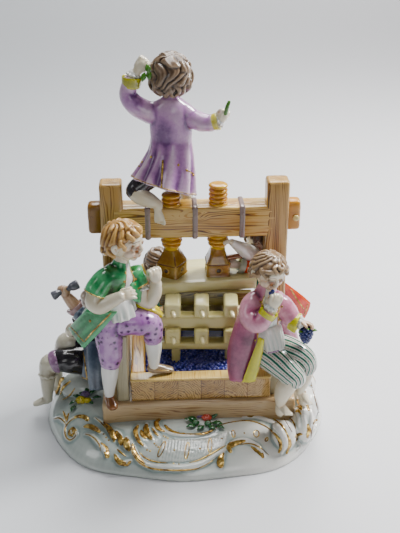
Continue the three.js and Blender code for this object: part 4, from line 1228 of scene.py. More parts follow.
def sculptHead(bm, matrix):
    def lump(centre, radii, along=None, detail=3):
        ball(bm, centre, radii, along, detail, matrix)

    def strand(rows):
        made = bmesh.new()
        loft(made, rows, 8)
        bmesh.ops.transform(made, matrix=matrix, verts=made.verts)
        addTo(bm, made)

    lump(*face["skull"])
    lump(*face["jaw"])
    lump((0, 0.66, -0.72), (0.22, 0.2, 0.17))
    lump((0, 0.72, 0.36), (0.56, 0.2, 0.3))
    strand([(0, 0.84, 0.2, 0.08), (0, 0.93, 0.02, 0.09), (0, 1.03, -0.14, 0.115), (0, 0.96, -0.24, 0.09)])
    for s in (-1, 1):
        lump((s * 0.41, 0.52, -0.3), (0.31, 0.33, 0.31))
        lump((s * 0.1, 0.96, -0.19), (0.07, 0.08, 0.06), None, 2)
        lump((s * face["eye"][0], 0.715, face["eye"][1]), (0.16, 0.155, 0.125), None, 3)
        strand([(s * 0.16, 0.83, 0.02, 0.03), (s * 0.26, 0.88, 0.1, 0.05), (s * 0.4, 0.84, 0.1, 0.05),
                (s * 0.53, 0.74, 0.02, 0.03)])
        lump((s * 0.87, -0.02, -0.08), (0.09, 0.17, 0.24), (s * 0.2, 0.1, 1))
        strand([(s * 0.9, 0.08, 0.08, 0.05), (s * 0.98, -0.06, 0.14, 0.05), (s * 1.0, -0.14, 0.0, 0.05),
                (s * 0.95, -0.08, -0.18, 0.05), (s * 0.88, 0.04, -0.28, 0.05)])
    strand([(-0.2, 0.83, -0.42, 0.035), (-0.1, 0.92, -0.4, 0.06), (0, 0.945, -0.415, 0.055),
            (0.1, 0.92, -0.4, 0.06), (0.2, 0.83, -0.42, 0.035)])
    strand([(-0.17, 0.83, -0.46, 0.035), (-0.07, 0.91, -0.51, 0.065), (0.07, 0.91, -0.51, 0.065),
            (0.17, 0.83, -0.46, 0.035)])


def skinPaint():
    glaze = Glaze("skinPaint", 0.16, 0.6)
    split = glaze.node("ShaderNodeSeparateXYZ", {0: glaze.field("headSpace", "Vector")})
    side = glaze.maths("ABSOLUTE", split.outputs["X"])
    front = glaze.maths("MULTIPLY", glaze.span(split.outputs["Y"], 0.3, 0.5),
                        glaze.span(split.outputs["Y"], 1.14, 1.1))
    height = split.outputs["Z"]

    def oval(x, z, wide, high, soft=0.12):
        across = glaze.maths("DIVIDE", glaze.maths("SUBTRACT", side, x), wide)
        upward = glaze.maths("DIVIDE", glaze.maths("SUBTRACT", height, z), high)
        square = glaze.maths("ADD", glaze.maths("MULTIPLY", across, across),
                             glaze.maths("MULTIPLY", upward, upward))
        inside = glaze.span(glaze.maths("SQRT", square), 1 + soft, 1 - soft)
        return glaze.maths("MULTIPLY", inside, front)

    def crescent(x, z, wide, high, drop):
        hidden = glaze.maths("SUBTRACT", 1, oval(x, z - drop, wide * 1.02, high, 0.2))
        return glaze.maths("MULTIPLY", oval(x, z, wide, high, 0.2), hidden)

    # Skin darker and warmer in hollows: painted shade
    hollow = glaze.span(glaze.field("fold"), -0.08, 0.14)
    colour = glaze.ramp(glaze.maths("ADD", hollow, glaze.span(glaze.clouds(0.2), 0.3, 0.7, -0.12, 0.12),
                                    clamp=True),
                        [(0.15, srgb(250, 242, 222)), (0.55, srgb(246, 230, 204)),
                         (0.95, srgb(212, 166, 132))])
    x, z = face["eye"]
    for mask, share, paint in (
            (oval(0.46, -0.3, 0.34, 0.3, 0.9), 0.3, (232, 142, 116)),
            (oval(0, -0.62, 0.3, 0.2, 0.9), 0.18, (226, 128, 104)),
            (oval(0, -0.455, 0.18, 0.07, 0.35), 0.5, (222, 160, 140)),
            (oval(0, -0.455, 0.18, 0.014, 0.6), 0.5, (150, 86, 72)),
            (oval(0.085, -0.235, 0.03, 0.016, 0.5), 0.3, (184, 116, 94)),
            (oval(x, z - 0.02, 0.15, 0.075), 0.8, (232, 232, 226)),
            (oval(x, z - 0.02, 0.07, 0.07), 1, (74, 50, 32)),
            (oval(x, z - 0.02, 0.034, 0.04), 1, (16, 12, 12)),
            (oval(x, z + 0.05, 0.23, 0.12, 0.3), 0.95, (60, 34, 24)),
            (oval(x, z + 0.09, 0.2, 0.06, 0.6), 0.4, (206, 140, 112)),
            (crescent(x + 0.02, z + 0.27, 0.27, 0.13, 0.055), 0.9, (118, 78, 48))):
        colour = glaze.mix(glaze.maths("MULTIPLY", mask, share), colour, srgb(*paint))
    return glaze.finish(colour)


def hairPaint(name, light, middle, dark):
    glaze = Glaze(name, 0.3, 0.3)
    # Darker in the hollows between clumps and locks: painted shade
    hollow = glaze.span(glaze.field("fold"), -0.12, 0.14)
    brushed = glaze.clouds(0.7, detail=3)
    share = glaze.maths("ADD", hollow, glaze.span(brushed, 0.3, 0.7, -0.1, 0.1), clamp=True)
    colour = glaze.ramp(share, [(0.14, srgb(*light)), (0.5, srgb(*middle)), (0.86, srgb(*dark))])
    return glaze.finish(colour, brushed, 0.1)


# Hairline: how far below the crown the hair reaches, in degrees, at a bearing round the head
def hairEdge(bearing, style):
    fromFront = abs((math.degrees(bearing) + 180) % 360 - 180)
    low = style["low"]
    return float(np.interp(fromFront, [0, 35, 58, 80, 105, 180],
                           [50, 55, 74 + low, 98 + low, 124 + low, style["nape"]]))


# A direction from the middle of the head, laid out on the skull
def overSkull(way, out):
    return Vector((way.x * 0.93, way.y * 0.98 - 0.06, way.z * 0.98 + 0.05)) * out


# Hair: a cap of broad grooved clumps that flow from a whorl, with curled locks along the hairline
def sculptHair(matrix, style, seed):
    draw = random.Random(seed)
    bm = bmesh.new()
    bmesh.ops.create_icosphere(bm, subdivisions=6, radius=1)
    whorl = Vector(style["whorl"]).normalized()
    aside = whorl.cross(Vector((0, 1, 0))).normalized()
    before = aside.cross(whorl)
    count = style["clumps"]
    offsets = [draw.random() for _ in range(count)]
    for vert in bm.verts:
        way = vert.co.normalized()
        bent = (way + noise.noise_vector(way * 1.7 + Vector((seed, 0, 0))) * style["stray"]).normalized()
        drop = math.acos(max(min(bent.dot(whorl), 1), -1))
        turn = math.atan2(bent.dot(aside), bent.dot(before))
        u = (turn + style["swirl"] * drop + style["wave"]
             * math.sin(style["waves"] * drop + 2 * turn)) * count / (2 * math.pi)
        clump, w = math.floor(u) % count, u - math.floor(u)
        ridge = 1 - abs(2 * w - 1) ** 2.4
        step = drop * style["layers"] / math.pi + offsets[clump]
        tier = (step - math.floor(step)) ** 1.4
        strand = 0.014 * math.sin(2 * math.pi * 3 * w)
        high = (style["depth"] * (0.75 * ridge + 0.5 * tier - 0.35) + strand) * min(drop * 1.8, 1)
        polar, bearing = math.acos(max(min(way.z, 1), -1)), math.atan2(way.x, way.y)
        inside = min(max((hairEdge(bearing, style) - math.degrees(polar)) / 9, 0), 1) ** 0.5
        out = 0.82 + (0.26 + style["puff"] + high) * inside
        vert.co = overSkull(way, out)
    bmesh.ops.transform(bm, matrix=matrix, verts=bm.verts)
    for k in range(style["locks"]):
        bearing = 2 * math.pi * (k + draw.uniform(-0.25, 0.25)) / style["locks"]
        edge = hairEdge(bearing, style)
        start, end = edge - style["long"] * draw.uniform(0.8, 1.1), edge + draw.uniform(1, 7)
        lean, phase = draw.uniform(-0.3, 0.3), draw.choice((0, 3.14)) + draw.uniform(-0.4, 0.4)
        thick = style["thick"] * draw.uniform(0.8, 1.2)
        rows, ways = [], []
        for step in range(8):
            t = step / 7
            drop = math.radians(start + (end - start) * t)
            turn = bearing + lean * (t - 0.6) + style["curl"] * math.sin(5.2 * t + phase)
            out = 1.07 + style["puff"] + 0.08 * math.sin(math.pi * min(t * 1.1,
                    1)) - 0.05 * (1 - t) ** 2 + style["flick"] * t ** 4
            ways.append(Vector((math.sin(turn) * math.sin(drop), math.cos(turn) * math.sin(drop),
                                math.cos(drop))))
            swell = thick * (0.3 + 0.8 * math.sin(math.pi * (0.1 + 0.84 * t)) ** 0.8)
            rows.append((*overSkull(ways[-1], out), swell, swell * 0.55))
        made = bmesh.new()
        run = Vector(rows[5][:3]) - Vector(rows[3][:3])
        loft(made, rows, 14, run.cross(ways[4]).normalized(), 3, fluted(0.07, 5))
        bmesh.ops.transform(made, matrix=matrix, verts=made.verts)
        addTo(bm, made)
    return bm


def sculptHand(bm, wrist, heading, palm, size=1.0, curl=35, thumb=1, spread=6):
    ahead = Vector(heading).normalized()
    down = (Vector(palm) - ahead * Vector(palm).dot(ahead)).normalized()
    across = ahead.cross(down)
    wrist = Vector(wrist)

    def at(forward, sideways, under):
        return wrist + (ahead * forward + across * sideways + down * under) * size

    loft(bm, [(*at(-1.5, 0, 0), 1.9 * size, 1.5 * size), (*at(1.2, 0, 0), 2.2 * size, 1.4 * size),
              (*at(3.6, 0, 0.1), 2.7 * size, 1.3 * size), (*at(4.6, 0, 0.2), 2.4 * size, 1.1 * size)], 12,
              across, 3)
    for k in range(4):
        off = (k - 1.5) * 1.28
        long = (1.5, 1.75, 1.65, 1.25)[k]
        fan = math.radians((k - 1.5) * spread)
        place, bend = at(4.0, off, 0.1), math.radians(curl * 0.3)
        rows = [(*place, 0.82 * size)]
        for joint, part in enumerate((1.0, 0.85, 0.65)):
            way = ahead * math.cos(bend) * math.cos(fan) + down * math.sin(bend) + across * math.sin(fan)
            place = place + way * long * part * size
            rows.append((*place, (0.78, 0.7, 0.55)[joint] * size))
            bend += math.radians(curl)
        loft(bm, rows, 8, across, 2)
    base = at(1.2, thumb * 1.7, 0.3)
    way = (ahead * 0.75 + across * thumb * 0.65 + down * 0.35).normalized()
    tip = base + way * 2.2 * size + (ahead * 0.9 + down * 0.8 - across * thumb * 0.1) * 1.3 * size
    loft(bm, [(*base, 1.0 * size), (*(base + way * 1.7 * size), 0.85 * size), (*tip, 0.62 * size)], 8,
         across, 3)


# A plump closed hand: heading runs from the wrist to the knuckles, and back is where its back faces
def sculptFist(bm, wrist, heading, back, size=1.0, thumb=1):
    ahead = Vector(heading).normalized()
    out = (Vector(back) - ahead * Vector(back).dot(ahead)).normalized()
    across = ahead.cross(out)

    def at(forward, sideways, outward, *radii):
        return (*(Vector(wrist) + (ahead * forward + across * sideways + out * outward) * size),
                *(r * size for r in radii))

    loft(bm, [at(-3, 0, 0, 2.2), at(0, 0, 0.1, 2.4, 2.2), at(2.2, 0, 0.2, 3.3, 2.5), at(4.2, 0, 0, 3.4, 2.5),
              at(5.4, 0, -0.5, 2.8, 1.9)], 16, across, 3)
    for k in range(4):
        off, reach = (k - 1.5) * 1.66, (0.7, 1, 0.9, 0.5)[k]
        loft(bm, [at(3.6, off, 1.2, 0.8), at(5 + reach, off, 0.7, 1.0), at(5.4 + reach, off, -1, 0.98),
                  at(4.4, off * 0.95, -2.3, 0.9), at(3.1, off * 0.9, -2.4, 0.7)], 10, across, 3)
    loft(bm, [at(1, thumb * 2.2, -0.6, 1.1), at(3, thumb * 2.8, -2, 1.05),
              at(4.4, thumb * 1.4, -3.1, 0.85)], 10, across, 3)


# The way that the first side of every sleeve and leg faces
limbAcross = (0.3, 0.9, 0.3)


def ring(rows, share):
    spread = smoothRows(rows, 8)
    where = min(max(share, 0), 1) * (len(spread) - 1)
    low = min(int(where), len(spread) - 2)
    row = spread[low] * (1 - where + low) + spread[low + 1] * (where - low)
    ahead = Vector(spread[low + 1][:3] - spread[low][:3]).normalized()
    return Vector(row[:3]), ahead, row[3], row[4]


def onLoft(rows, across, angle, share, out=1.0):
    centre, ahead, wide, deep = ring(rows, share)
    side = (Vector(across) - ahead * Vector(across).dot(ahead)).normalized()
    up = ahead.cross(side)
    turn = math.radians(angle)
    return centre + (side * wide * math.cos(turn) + up * deep * math.sin(turn)) * out


# Degrees round a ring at which a direction lies
def bearingOf(rows, across, direction):
    _, ahead, _, _ = ring(rows, 0.5)
    side = (Vector(across) - ahead * Vector(across).dot(ahead)).normalized()
    up = ahead.cross(side)
    return math.degrees(math.atan2(Vector(direction).dot(up), Vector(direction).dot(side)))


def gapBetween(angle, centre):
    return abs((math.degrees(angle) - centre + 180) % 360 - 180)


# Coat that stands open at the front, with folds that deepen towards the hem
def coatRipple(front, openTop, openLow, folds=9, depth=0.05, inside=0.72):
    def ripple(angle, share):
        gap = gapBetween(angle, front)
        opening = openTop + (openLow - openTop) * share
        edge = min(max((gap - opening) / 9, 0), 1)
        fold = depth * share * math.sin(folds * angle + 0.6 * math.sin(3 * angle))
        return inside + (1.0 + fold - inside) * edge ** 0.7
    return ripple


# The same folds without an opening
def hemRipple(folds, depth):
    return coatRipple(0, -20, -20, folds, depth, 1)


# Soft creases across a sleeve or a leg, deeper on two sides
def wrinkle(depth, creases, lean):
    def ripple(angle, share):
        crease = math.sin(6.28 * creases * share + lean * angle)
        return 1 + depth * crease * (0.5 + 0.5 * math.sin(2 * angle))
    return ripple


# A turned-back cuff: a crisp band that flares towards the hand and stands open
def cuffPiece(bm, wrist, heading, radius, long, flare=1.2):
    start, ahead = Vector(wrist), Vector(heading).normalized()
    rows = [(*(start - ahead * long), radius * 1.04),
            (*(start - ahead * long * 0.5), radius * (0.55 + 0.5 * flare)),
            (*(start + ahead * 0.5), radius * flare)]
    loft(bm, rows, 24, limbAcross, 4, None, 0.15, 1.2)


def bareFoot(bm, heel, toe, size, under):
    heel, way = Vector(heel), Vector(toe) - Vector(heel)
    ahead, under = way.normalized(), Vector(under)
    side = ahead.cross(under).normalized()
    shares = ((-0.16, 0.5, 0.5), (0, 0.78, 0.76), (0.3, 0.72, 0.7), (0.6, 0.94, 0.54), (0.82, 1.0, 0.42))
    loft(bm, [(*(heel + way * t), size * wide, size * deep) for t, wide, deep in shares], 16, side, 4)
    for k in range(5):
        at = heel + way * (0.84 - 0.025 * k) + side * size * (0.76 - 0.38 * k)
        thick = size * (0.29 if k == 0 else 0.21)
        loft(bm, [(*at, thick), (*(at + way * (0.17 - 0.015 * k)), thick),
                  (*(at + way * (0.26 - 0.02 * k) - under * 0.2), thick * 0.8)],
             8, side, 3)


def ruffle(bm, wrist, heading, radius, depth=0.16, waves=9):
    start, ahead = Vector(wrist), Vector(heading).normalized()
    rows = [(*(start - ahead * 1.2), radius * 0.7), (*start, radius),
            (*(start + ahead * 1.0), radius * 1.12), (*(start + ahead * 1.6), radius * 0.8)]
    loft(bm, rows, 36, limbAcross, 3, fluted(depth, waves, 2))


def button(bm, surfaces, point, size=0.8):
    place, normal = laidOn(surfaces, point, 0.15)
    ball(bm, place, (size, size, size * 0.5), normal, 2)


# Small studs at picture points
def studs(bm, surfaces, spots, size=0.85):
    for x, y in spots:
        hit = seenOn(surfaces, x, y)
        if hit:
            ball(bm, hit[0], (size, size, size * 0.6), hit[1], 2)


def goldLine(bm, surfaces, points, thick=0.36):
    strip(bm, surfaces, points, thick * 1.25, 0.3, 3, 0.6)


# A gold line round a hem or a cuff, at the given angles
def hemLine(bm, surfaces, rows, across, angles, share=0.985, out=1.08, thick=0.36):
    goldLine(bm, surfaces, [onLoft(rows, across, angle, share, out) for angle in angles], thick)


def shoe(bm, heel, toe, size):
    heel, toe = Vector(heel), Vector(toe)
    way = toe - heel
    rows = [(*(heel - way * 0.12 + Vector((0, 0, size * 0.1))), size * 0.62, size * 0.75),
            (*(heel + way * 0.08 + Vector((0, 0, size * 0.15))), size * 0.86, size * 0.95),
            (*(heel + way * 0.4 + Vector((0, 0, size * 0.02))), size * 0.8, size * 0.8),
            (*(heel + way * 0.75 - Vector((0, 0, size * 0.16))), size * 0.92, size * 0.6),
            (*(toe - Vector((0, 0, size * 0.25))), size * 0.72, size * 0.45)]
    loft(bm, rows, 18, Vector((0, 0, 1)).cross(way).normalized(), 4)


def headSpaceOn(piece, matrix):
    back = (toFrame @ matrix).inverted()
    count = len(piece.data.vertices)
    places = np.empty(count * 3, dtype=np.float32)
    piece.data.vertices.foreach_get("co", places)
    turned = places.reshape(-1, 3) @ np.array(back.to_3x3()).T + np.array(back.translation)
    field = piece.data.attributes.new("headSpace", "FLOAT_VECTOR", "POINT")
    field.data.foreach_set("vector", turned.astype(np.float32).ravel())


paints = {
    "lilac": ((236, 212, 230), (190, 150, 192), (112, 76, 124)),
    "olive": ((196, 192, 96), (142, 140, 44), (84, 86, 26)),
    "emerald": ((120, 188, 142), (38, 128, 80), (14, 68, 46)),
    "rose": ((236, 184, 200), (180, 108, 136), (112, 56, 84)),
    "lemon": ((240, 226, 128), (212, 194, 72), (146, 128, 40)),
    "scarlet": ((234, 112, 76), (206, 54, 34), (130, 26, 18)),
    "slate": ((120, 130, 144), (70, 80, 96), (36, 42, 54)),
    "straw": ((238, 216, 134), (210, 178, 84), (146, 112, 44)),
    "ink": ((52, 48, 52), (24, 22, 26), (8, 8, 10)),
    "teal": ((120, 180, 176), (50, 124, 122), (20, 66, 70)),
    "shoe": ((150, 106, 76), (112, 72, 50), (54, 34, 26)),
    "greyShoe": ((168, 152, 134), (122, 104, 88), (66, 52, 44)),
    "mauve": ((190, 160, 160), (140, 106, 108), (84, 58, 62)),
    "pale": ((238, 232, 214), (214, 202, 176), (150, 132, 104)),
    "leafy": ((92, 134, 72), (38, 84, 38), (16, 42, 22)),
    "flint": ((116, 116, 124), (72, 72, 82), (36, 36, 44)),
    "sage": ((214, 222, 204), (174, 186, 166), (112, 124, 108)),
    "lime": ((234, 230, 128), (198, 196, 70), (132, 130, 38)),
    "wheat": ((240, 232, 160), (222, 208, 116), (160, 144, 70)),
    # Skin painted darker for a forearm and a hand: painted shade
    "taupe": ((190, 178, 166), (146, 132, 122), (96, 82, 76)),
    "shadedSkin": ((232, 204, 180), (196, 160, 134), (134, 98, 80)),
    # White painted greyer for stockings: painted shade
    "shadedWhite": ((230, 226, 210), (206, 200, 182), (144, 134, 114)),
    "berry": ((46, 54, 112), (13, 16, 54), (4, 4, 18)),
    "purple": ((176, 146, 172), (122, 88, 122), (66, 42, 68)),
}
hairTones = {
    "ashen": ((146, 128, 110), (98, 80, 66), (44, 34, 28)),
    "ginger": ((212, 178, 132), (164, 126, 84), (100, 68, 42)),
    "nut": ((178, 156, 130), (126, 102, 80), (60, 44, 34)),
    "dark": ((100, 82, 70), (60, 46, 38), (28, 20, 18)),
}
mixed = {"skin": skinPaint(), "white": whiteGlaze(), "gold": gilding()}


def paintOf(name):
    if name not in mixed:
        light, middle, dark = (srgb(*colour) for colour in paints[name])
        mixed[name] = enamel(name + "Paint", light, middle, dark)
    return mixed[name]


def hairOf(name):
    if name not in mixed:
        mixed[name] = hairPaint(name + "Hair", *hairTones[name])
    return mixed[name]


# Paint of one garment with soft dark clouds of painted shade: each has a centre, a size and a strength
def shadePatched(name, tones, clouds):
    light, middle, dark = (srgb(*colour) for colour in paints[tones])
    mixed[name] = enamel(name, light, middle, dark, shadePatched=clouds)
    return name


def spotted():
    glaze = Glaze("spottedLilac", 0.18)
    # Ground darker in hollows: painted shade
    hollow = glaze.span(glaze.field("fold"), -0.1, 0.12)
    shade = glaze.maths("ADD", hollow, glaze.span(glaze.clouds(0.12), 0.3, 0.7, -0.2, 0.3), clamp=True)
    ground = glaze.ramp(shade,
                        [(0.1, srgb(212, 176, 216)), (0.5, srgb(158, 106, 168)), (0.9, srgb(98, 52, 110))])
    where = glaze.place()
    frayed = glaze.node("ShaderNodeTexNoise", {"Vector": where, "Scale": 1.1, "Detail": 2}).outputs["Color"]
    moved = glaze.node("ShaderNodeVectorMath", {0: frayed, 1: (1.6, 1.6, 1.6), 2: where},
                       operation="MULTIPLY_ADD").outputs[0]
    cells = glaze.node("ShaderNodeTexVoronoi", {"Vector": moved, "Scale": 0.26, "Randomness": 0.55})
    away = cells.outputs["Distance"]
    colour = glaze.mix(glaze.maths("MULTIPLY", glaze.span(away, 0.42, 0.28), 0.5), ground, srgb(96, 46, 108))
    colour = glaze.mix(glaze.maths("MULTIPLY", glaze.span(away, 0.3, 0.2), 0.9), colour, srgb(46, 14, 60))
    return glaze.finish(colour)


# Stripes run down the leg, from the angle that each ring keeps: broad green, fine green and dotted red
def striped():
    glaze = Glaze("stripedWhite", 0.16)
    turn = glaze.maths("ARCTAN2", glaze.field("roundY"), glaze.field("roundX"))
    turn = glaze.maths("ADD", turn, glaze.span(glaze.clouds(0.15), 0.3, 0.7, -0.02, 0.02))
    wave = glaze.maths("SINE", glaze.maths("MULTIPLY", turn, 16))
    fine = glaze.maths("SINE", glaze.maths("MULTIPLY", turn, 48))
    dots = glaze.maths("SINE", glaze.maths("MULTIPLY", glaze.field("along"), 4.2))
    # Ground greyer in hollows: painted shade
    ground = glaze.ramp(glaze.span(glaze.field("fold"), -0.05, 0.16),
                        [(0.1, srgb(240, 240, 230)), (0.9, srgb(180, 192, 184))])
    colour = glaze.mix(glaze.span(wave, 0.25, 0.55), ground, srgb(40, 104, 88))
    thin = glaze.maths("MULTIPLY", glaze.span(fine, 0.7, 0.95), glaze.span(wave, 0, -0.2))
    colour = glaze.mix(glaze.maths("MULTIPLY", thin, 0.85), colour, srgb(44, 84, 92))
    red = glaze.maths("MULTIPLY", glaze.span(wave, -0.88, -0.97), glaze.span(dots, -0.4, 0.2))
    return glaze.finish(glaze.mix(red, colour, srgb(136, 40, 52)))


def put(bm, name, paint, **more):
    return finishPiece(bm, name, paintOf(paint), **more)


# A piece whose skins are fused into one
def putFused(bm, name, paint, voxel, soften=1, keep=0.6):
    return put(bm, name, paint, voxel=voxel, soften=soften, keep=keep)


styles = {
    "waves": {"whorl": (0.15, 0.1, 1), "clumps": 12, "swirl": 0.25, "wave": 0.3, "waves": 3.4, "layers": 3,
              "depth": 0.17, "stray": 0.22, "locks": 17, "long": 46, "curl": 0.17, "thick": 0.18,
              "puff": 0.03, "flick": 0.08, "nape": 154, "low": 14},
    "tufts": {"whorl": (0.1, -0.5, 0.9), "clumps": 10, "swirl": 0.4, "wave": 0.26, "waves": 2.6,
              "layers": 2.2, "depth": 0.15, "stray": 0.16, "locks": 15, "long": 26, "curl": 0.14,
              "thick": 0.15, "puff": 0.0, "flick": 0.04, "nape": 138, "low": 0},
    "swirled": {"whorl": (-0.1, -0.25, 1), "clumps": 12, "swirl": 0.8, "wave": 0.24, "waves": 3.2,
                "layers": 2.6, "depth": 0.14, "stray": 0.18, "locks": 18, "long": 20, "curl": 0.2,
                "thick": 0.12, "puff": 0.0, "flick": 0.08, "nape": 136, "low": 2},
}


# Skin and hair of one child; the extra call adds hands and bare legs to the skin
def makeHeadAndSkin(name, centre, look, size, hair, style, seed, neck, extra=None, roll=0.0):
    matrix = headFrame(centre, look, size, roll)
    skin = bmesh.new()
    sculptHead(skin, matrix)
    loft(skin, neck, 14, (1, 0, 0), 3)
    if extra:
        extra(skin)
    piece = put(skin, name + "Skin", "skin", voxel=face["voxel"], soften=2, keep=0.8, rounds=5)
    headSpaceOn(piece, matrix)
    hairPiece = sculptHair(matrix, styles[style], seed)
    finishPiece(hairPiece, name + "Hair", hairOf(hair), 0.36, 2, 0.6, 5)
    return piece


def legPiece(bm, rows, sides=20, depth=0.03):
    loft(bm, rows, sides, limbAcross, 5, wrinkle(depth, 3, 2))


def makeLookout():
    name, across, front = "lookout", (1, 0, 0), (0, 1, 0)

    def hands(bm):
        sculptFist(bm, (-36.2, 15.6, 224), (0.62, 0, 0.78), (-0.2, -0.95, 0.2), 1.22, -1)
        sculptFist(bm, (12.2, 12.2, 195.2), (0.42, -0.1, 0.9), (0.6, -0.8, -0.2), 1.05, -1)
        legPiece(bm, [(-39.6, 7.4, 151, 4.8), (-36, 6.4, 149.4, 5.3), (-30.6, 5.6, 147.2, 4.7),
                      (-26.6, 5.4, 145, 3.4), (-25.6, 5.2, 142.6, 3)], 18, 0)
        bareFoot(bm, (-26.2, 5.4, 143.6), (-24.6, 3.8, 132.8), 3.4, (0.1, 0.9, -0.1))

    makeHeadAndSkin(name, (-17.3, 18, 220.5), (0.05, 1, 0), 11.2, "ashen", "waves", 3,
                    [(-17.2, 18, 199, 5.4), (-17.2, 18, 206, 4.4), (-17.2, 18, 212, 4.6)], hands)
    body = [(-17.5, 19, 172, 12.4, 9.6), (-17.5, 19, 182, 12.2, 9), (-17.5, 19, 191, 13, 9),
            (-17.3, 18.5, 198.5, 12, 8), (-17.2, 18, 202.6, 7, 6), (-17.2, 18, 205.5, 5.2, 5)]
    skirt = [(-17.2, 18, 208, 5, 5), (-17.2, 18, 205, 8.8, 7), (-17.3, 18.2, 200, 13, 8.6),
             (-17.4, 18.6, 190, 13, 9.4), (-17.5, 19, 181, 12.8, 9.6), (-18, 18.2, 172, 14.4, 11.2),
             (-20, 16.5, 162, 17.2, 13.6), (-22.5, 14.4, 153.2, 19.8, 15.8)]
    yoke = [(-32, 17.6, 196, 4.6), (-26, 17.8, 199, 6.2), (-17.3, 18, 201, 6.6), (-9.4, 17.6, 198.6, 6.2),
            (-3.6, 16.6, 195, 4.8)]
    left = [(-24, 18, 196.6, 6.6), (-31, 17.6, 199, 6.5), (-38.4, 16.8, 203.4, 6.2), (-42, 16.3, 208.6, 5.6),
            (-41.8, 16.1, 213.6, 5.1), (-40.2, 16, 218, 4.8)]
    right = [(-11, 18, 197, 6.6), (-3, 16.4, 194.4, 6), (4, 14.5, 193, 5.4), (8.6, 13.2, 194, 4.9)]
    coat = bmesh.new()
    skirtFront = bearingOf(skirt, across, front)

    def pleats(angle, share):
        edge = min(max((gapBetween(angle, skirtFront) - 8 - 16 * share) / 9, 0), 1)
        fold = 0.2 * max(share - 0.5, 0) * math.sin(10 * angle + 0.6 * math.sin(3 * angle))
        return 0.62 + (0.38 + fold) * edge ** 0.7

    loft(coat, skirt, 80, across, 6, pleats, hem=5)
    for rows in (yoke, left, right):
        loft(coat, rows, 24, limbAcross, 6, wrinkle(0.035, 3, 1))
    # Soft dark patches on the coat, on the side away from the light: painted shade
    clouds = [((-22, 8, 188), (10, 12, 12), 0.5), ((-40, 14, 207), (9, 9, 8), 0.5),
              ((-26, 4, 168), (6, 10, 16), 0.4), ((-7, 8, 190), (6, 8, 8), 0.35)]
    coatPiece = putFused(coat, name + "Coat", shadePatched(name + "Lilac", "lilac", clouds), 0.55, 5, 0.8)
    shirt = bmesh.new()
    loft(shirt, [(x, y + 0.5, z, w * 0.94, d * 0.96) for x, y, z, w, d in body], 30, across, 4)
    ruffle(shirt, (-39, 15.8, 220.8), (0.35, 0, 1), 3.9)
    ruffle(shirt, (11, 12.6, 194.9), (0.9, -0.2, 0.5), 3.6)
    putFused(shirt, name + "Shirt", "white", 0.5)
    # The left cuff is painted olive, darker than the right cuff's wheat, on the arm away from the light:
    # painted shade
    cuffs = bmesh.new()
    cuffPiece(cuffs, (-39.8, 16, 219.8), (0.08, 0, 1), 5.1, 5.6, 1.18)
    putFused(cuffs, name + "CuffLeft", "olive", 0.4)
    cuffs = bmesh.new()
    cuffPiece(cuffs, (10.6, 12.8, 194.6), (0.95, -0.2, 0.25), 4.6, 3.4, 1.14)
    putFused(cuffs, name + "CuffRight", "wheat", 0.4)
    legs = bmesh.new()
    legPiece(legs, [(-25, 16, 162, 6.6), (-33, 12, 157.4, 6.4), (-39.2, 9, 153.2, 5.8),
                    (-40.6, 7.8, 150.6, 5)])
    legPiece(legs, [(-14, 26, 157, 7.6), (-11.6, 35, 150, 6.2), (-9.6, 37.5, 143, 5.2), (-9, 37, 138, 4.6)])
    putFused(legs, name + "Breeches", "ink", 0.55)
    stockings = bmesh.new()
    legPiece(stockings, [(-9, 36, 140, 4.2), (-9, 36.4, 134, 4), (-9, 35.6, 126.5, 3)])
    putFused(stockings, name + "Stocking", "pale", 0.5, 2)
    shoes = bmesh.new()
    shoe(shoes, (-9, 35, 124.6), (-9, 44.6, 122), 3.6)
    putFused(shoes, name + "Shoe", "shoe", 0.5)
    surfaces, trim = surfaceOf(coatPiece), bmesh.new()
    stroke(trim, surfaces, [(162.8, 160), (162.4, 170), (161.8, 181), (161.4, 192)], 0.75, 0.35, 5, 0.8)
    for x, y, way in ((137.5, 160, 1), (190, 171.6, 1), (135.4, 164, 1)):
        stroke(trim, surfaces, [(x - 4.6, y - 2), (x, y + 0.2), (x + 4.4, y + 2.6 * way)], 0.42, 0.3, 5, 0.6)
    studs(trim, surfaces, [(151, 157), (178.4, 165), (134, 158.6), (138, 160.8), (142, 162), (187, 170.4),
                           (190.6, 172.6), (193.4, 175)])
    hemLine(trim, surfaces, skirt, across, range(0, 361, 9), out=1.1, thick=0.24)
    put(trim, name + "GoldTrim", "gold")
    sprig = bmesh.new()
    loft(sprig, [(15, 9.4, 200, 1.2), (15.8, 9, 204, 1.3), (17, 9, 207.4, 1)], 10)
    for x, y, z, way in ((-30.6, 11, 228.6, (0.3, -0.2, -1)), (-29.8, 11, 225, (0.2, -0.3, -1)),
                         (-31.8, 10.4, 224,
                         (-0.3, -0.3, -1))):
        leaf(sprig, (x, y, z), way, 5.4, (0, -1, 0.2))
    put(sprig, name + "Sprigs", "leafy")
    print("lookout boy ready")


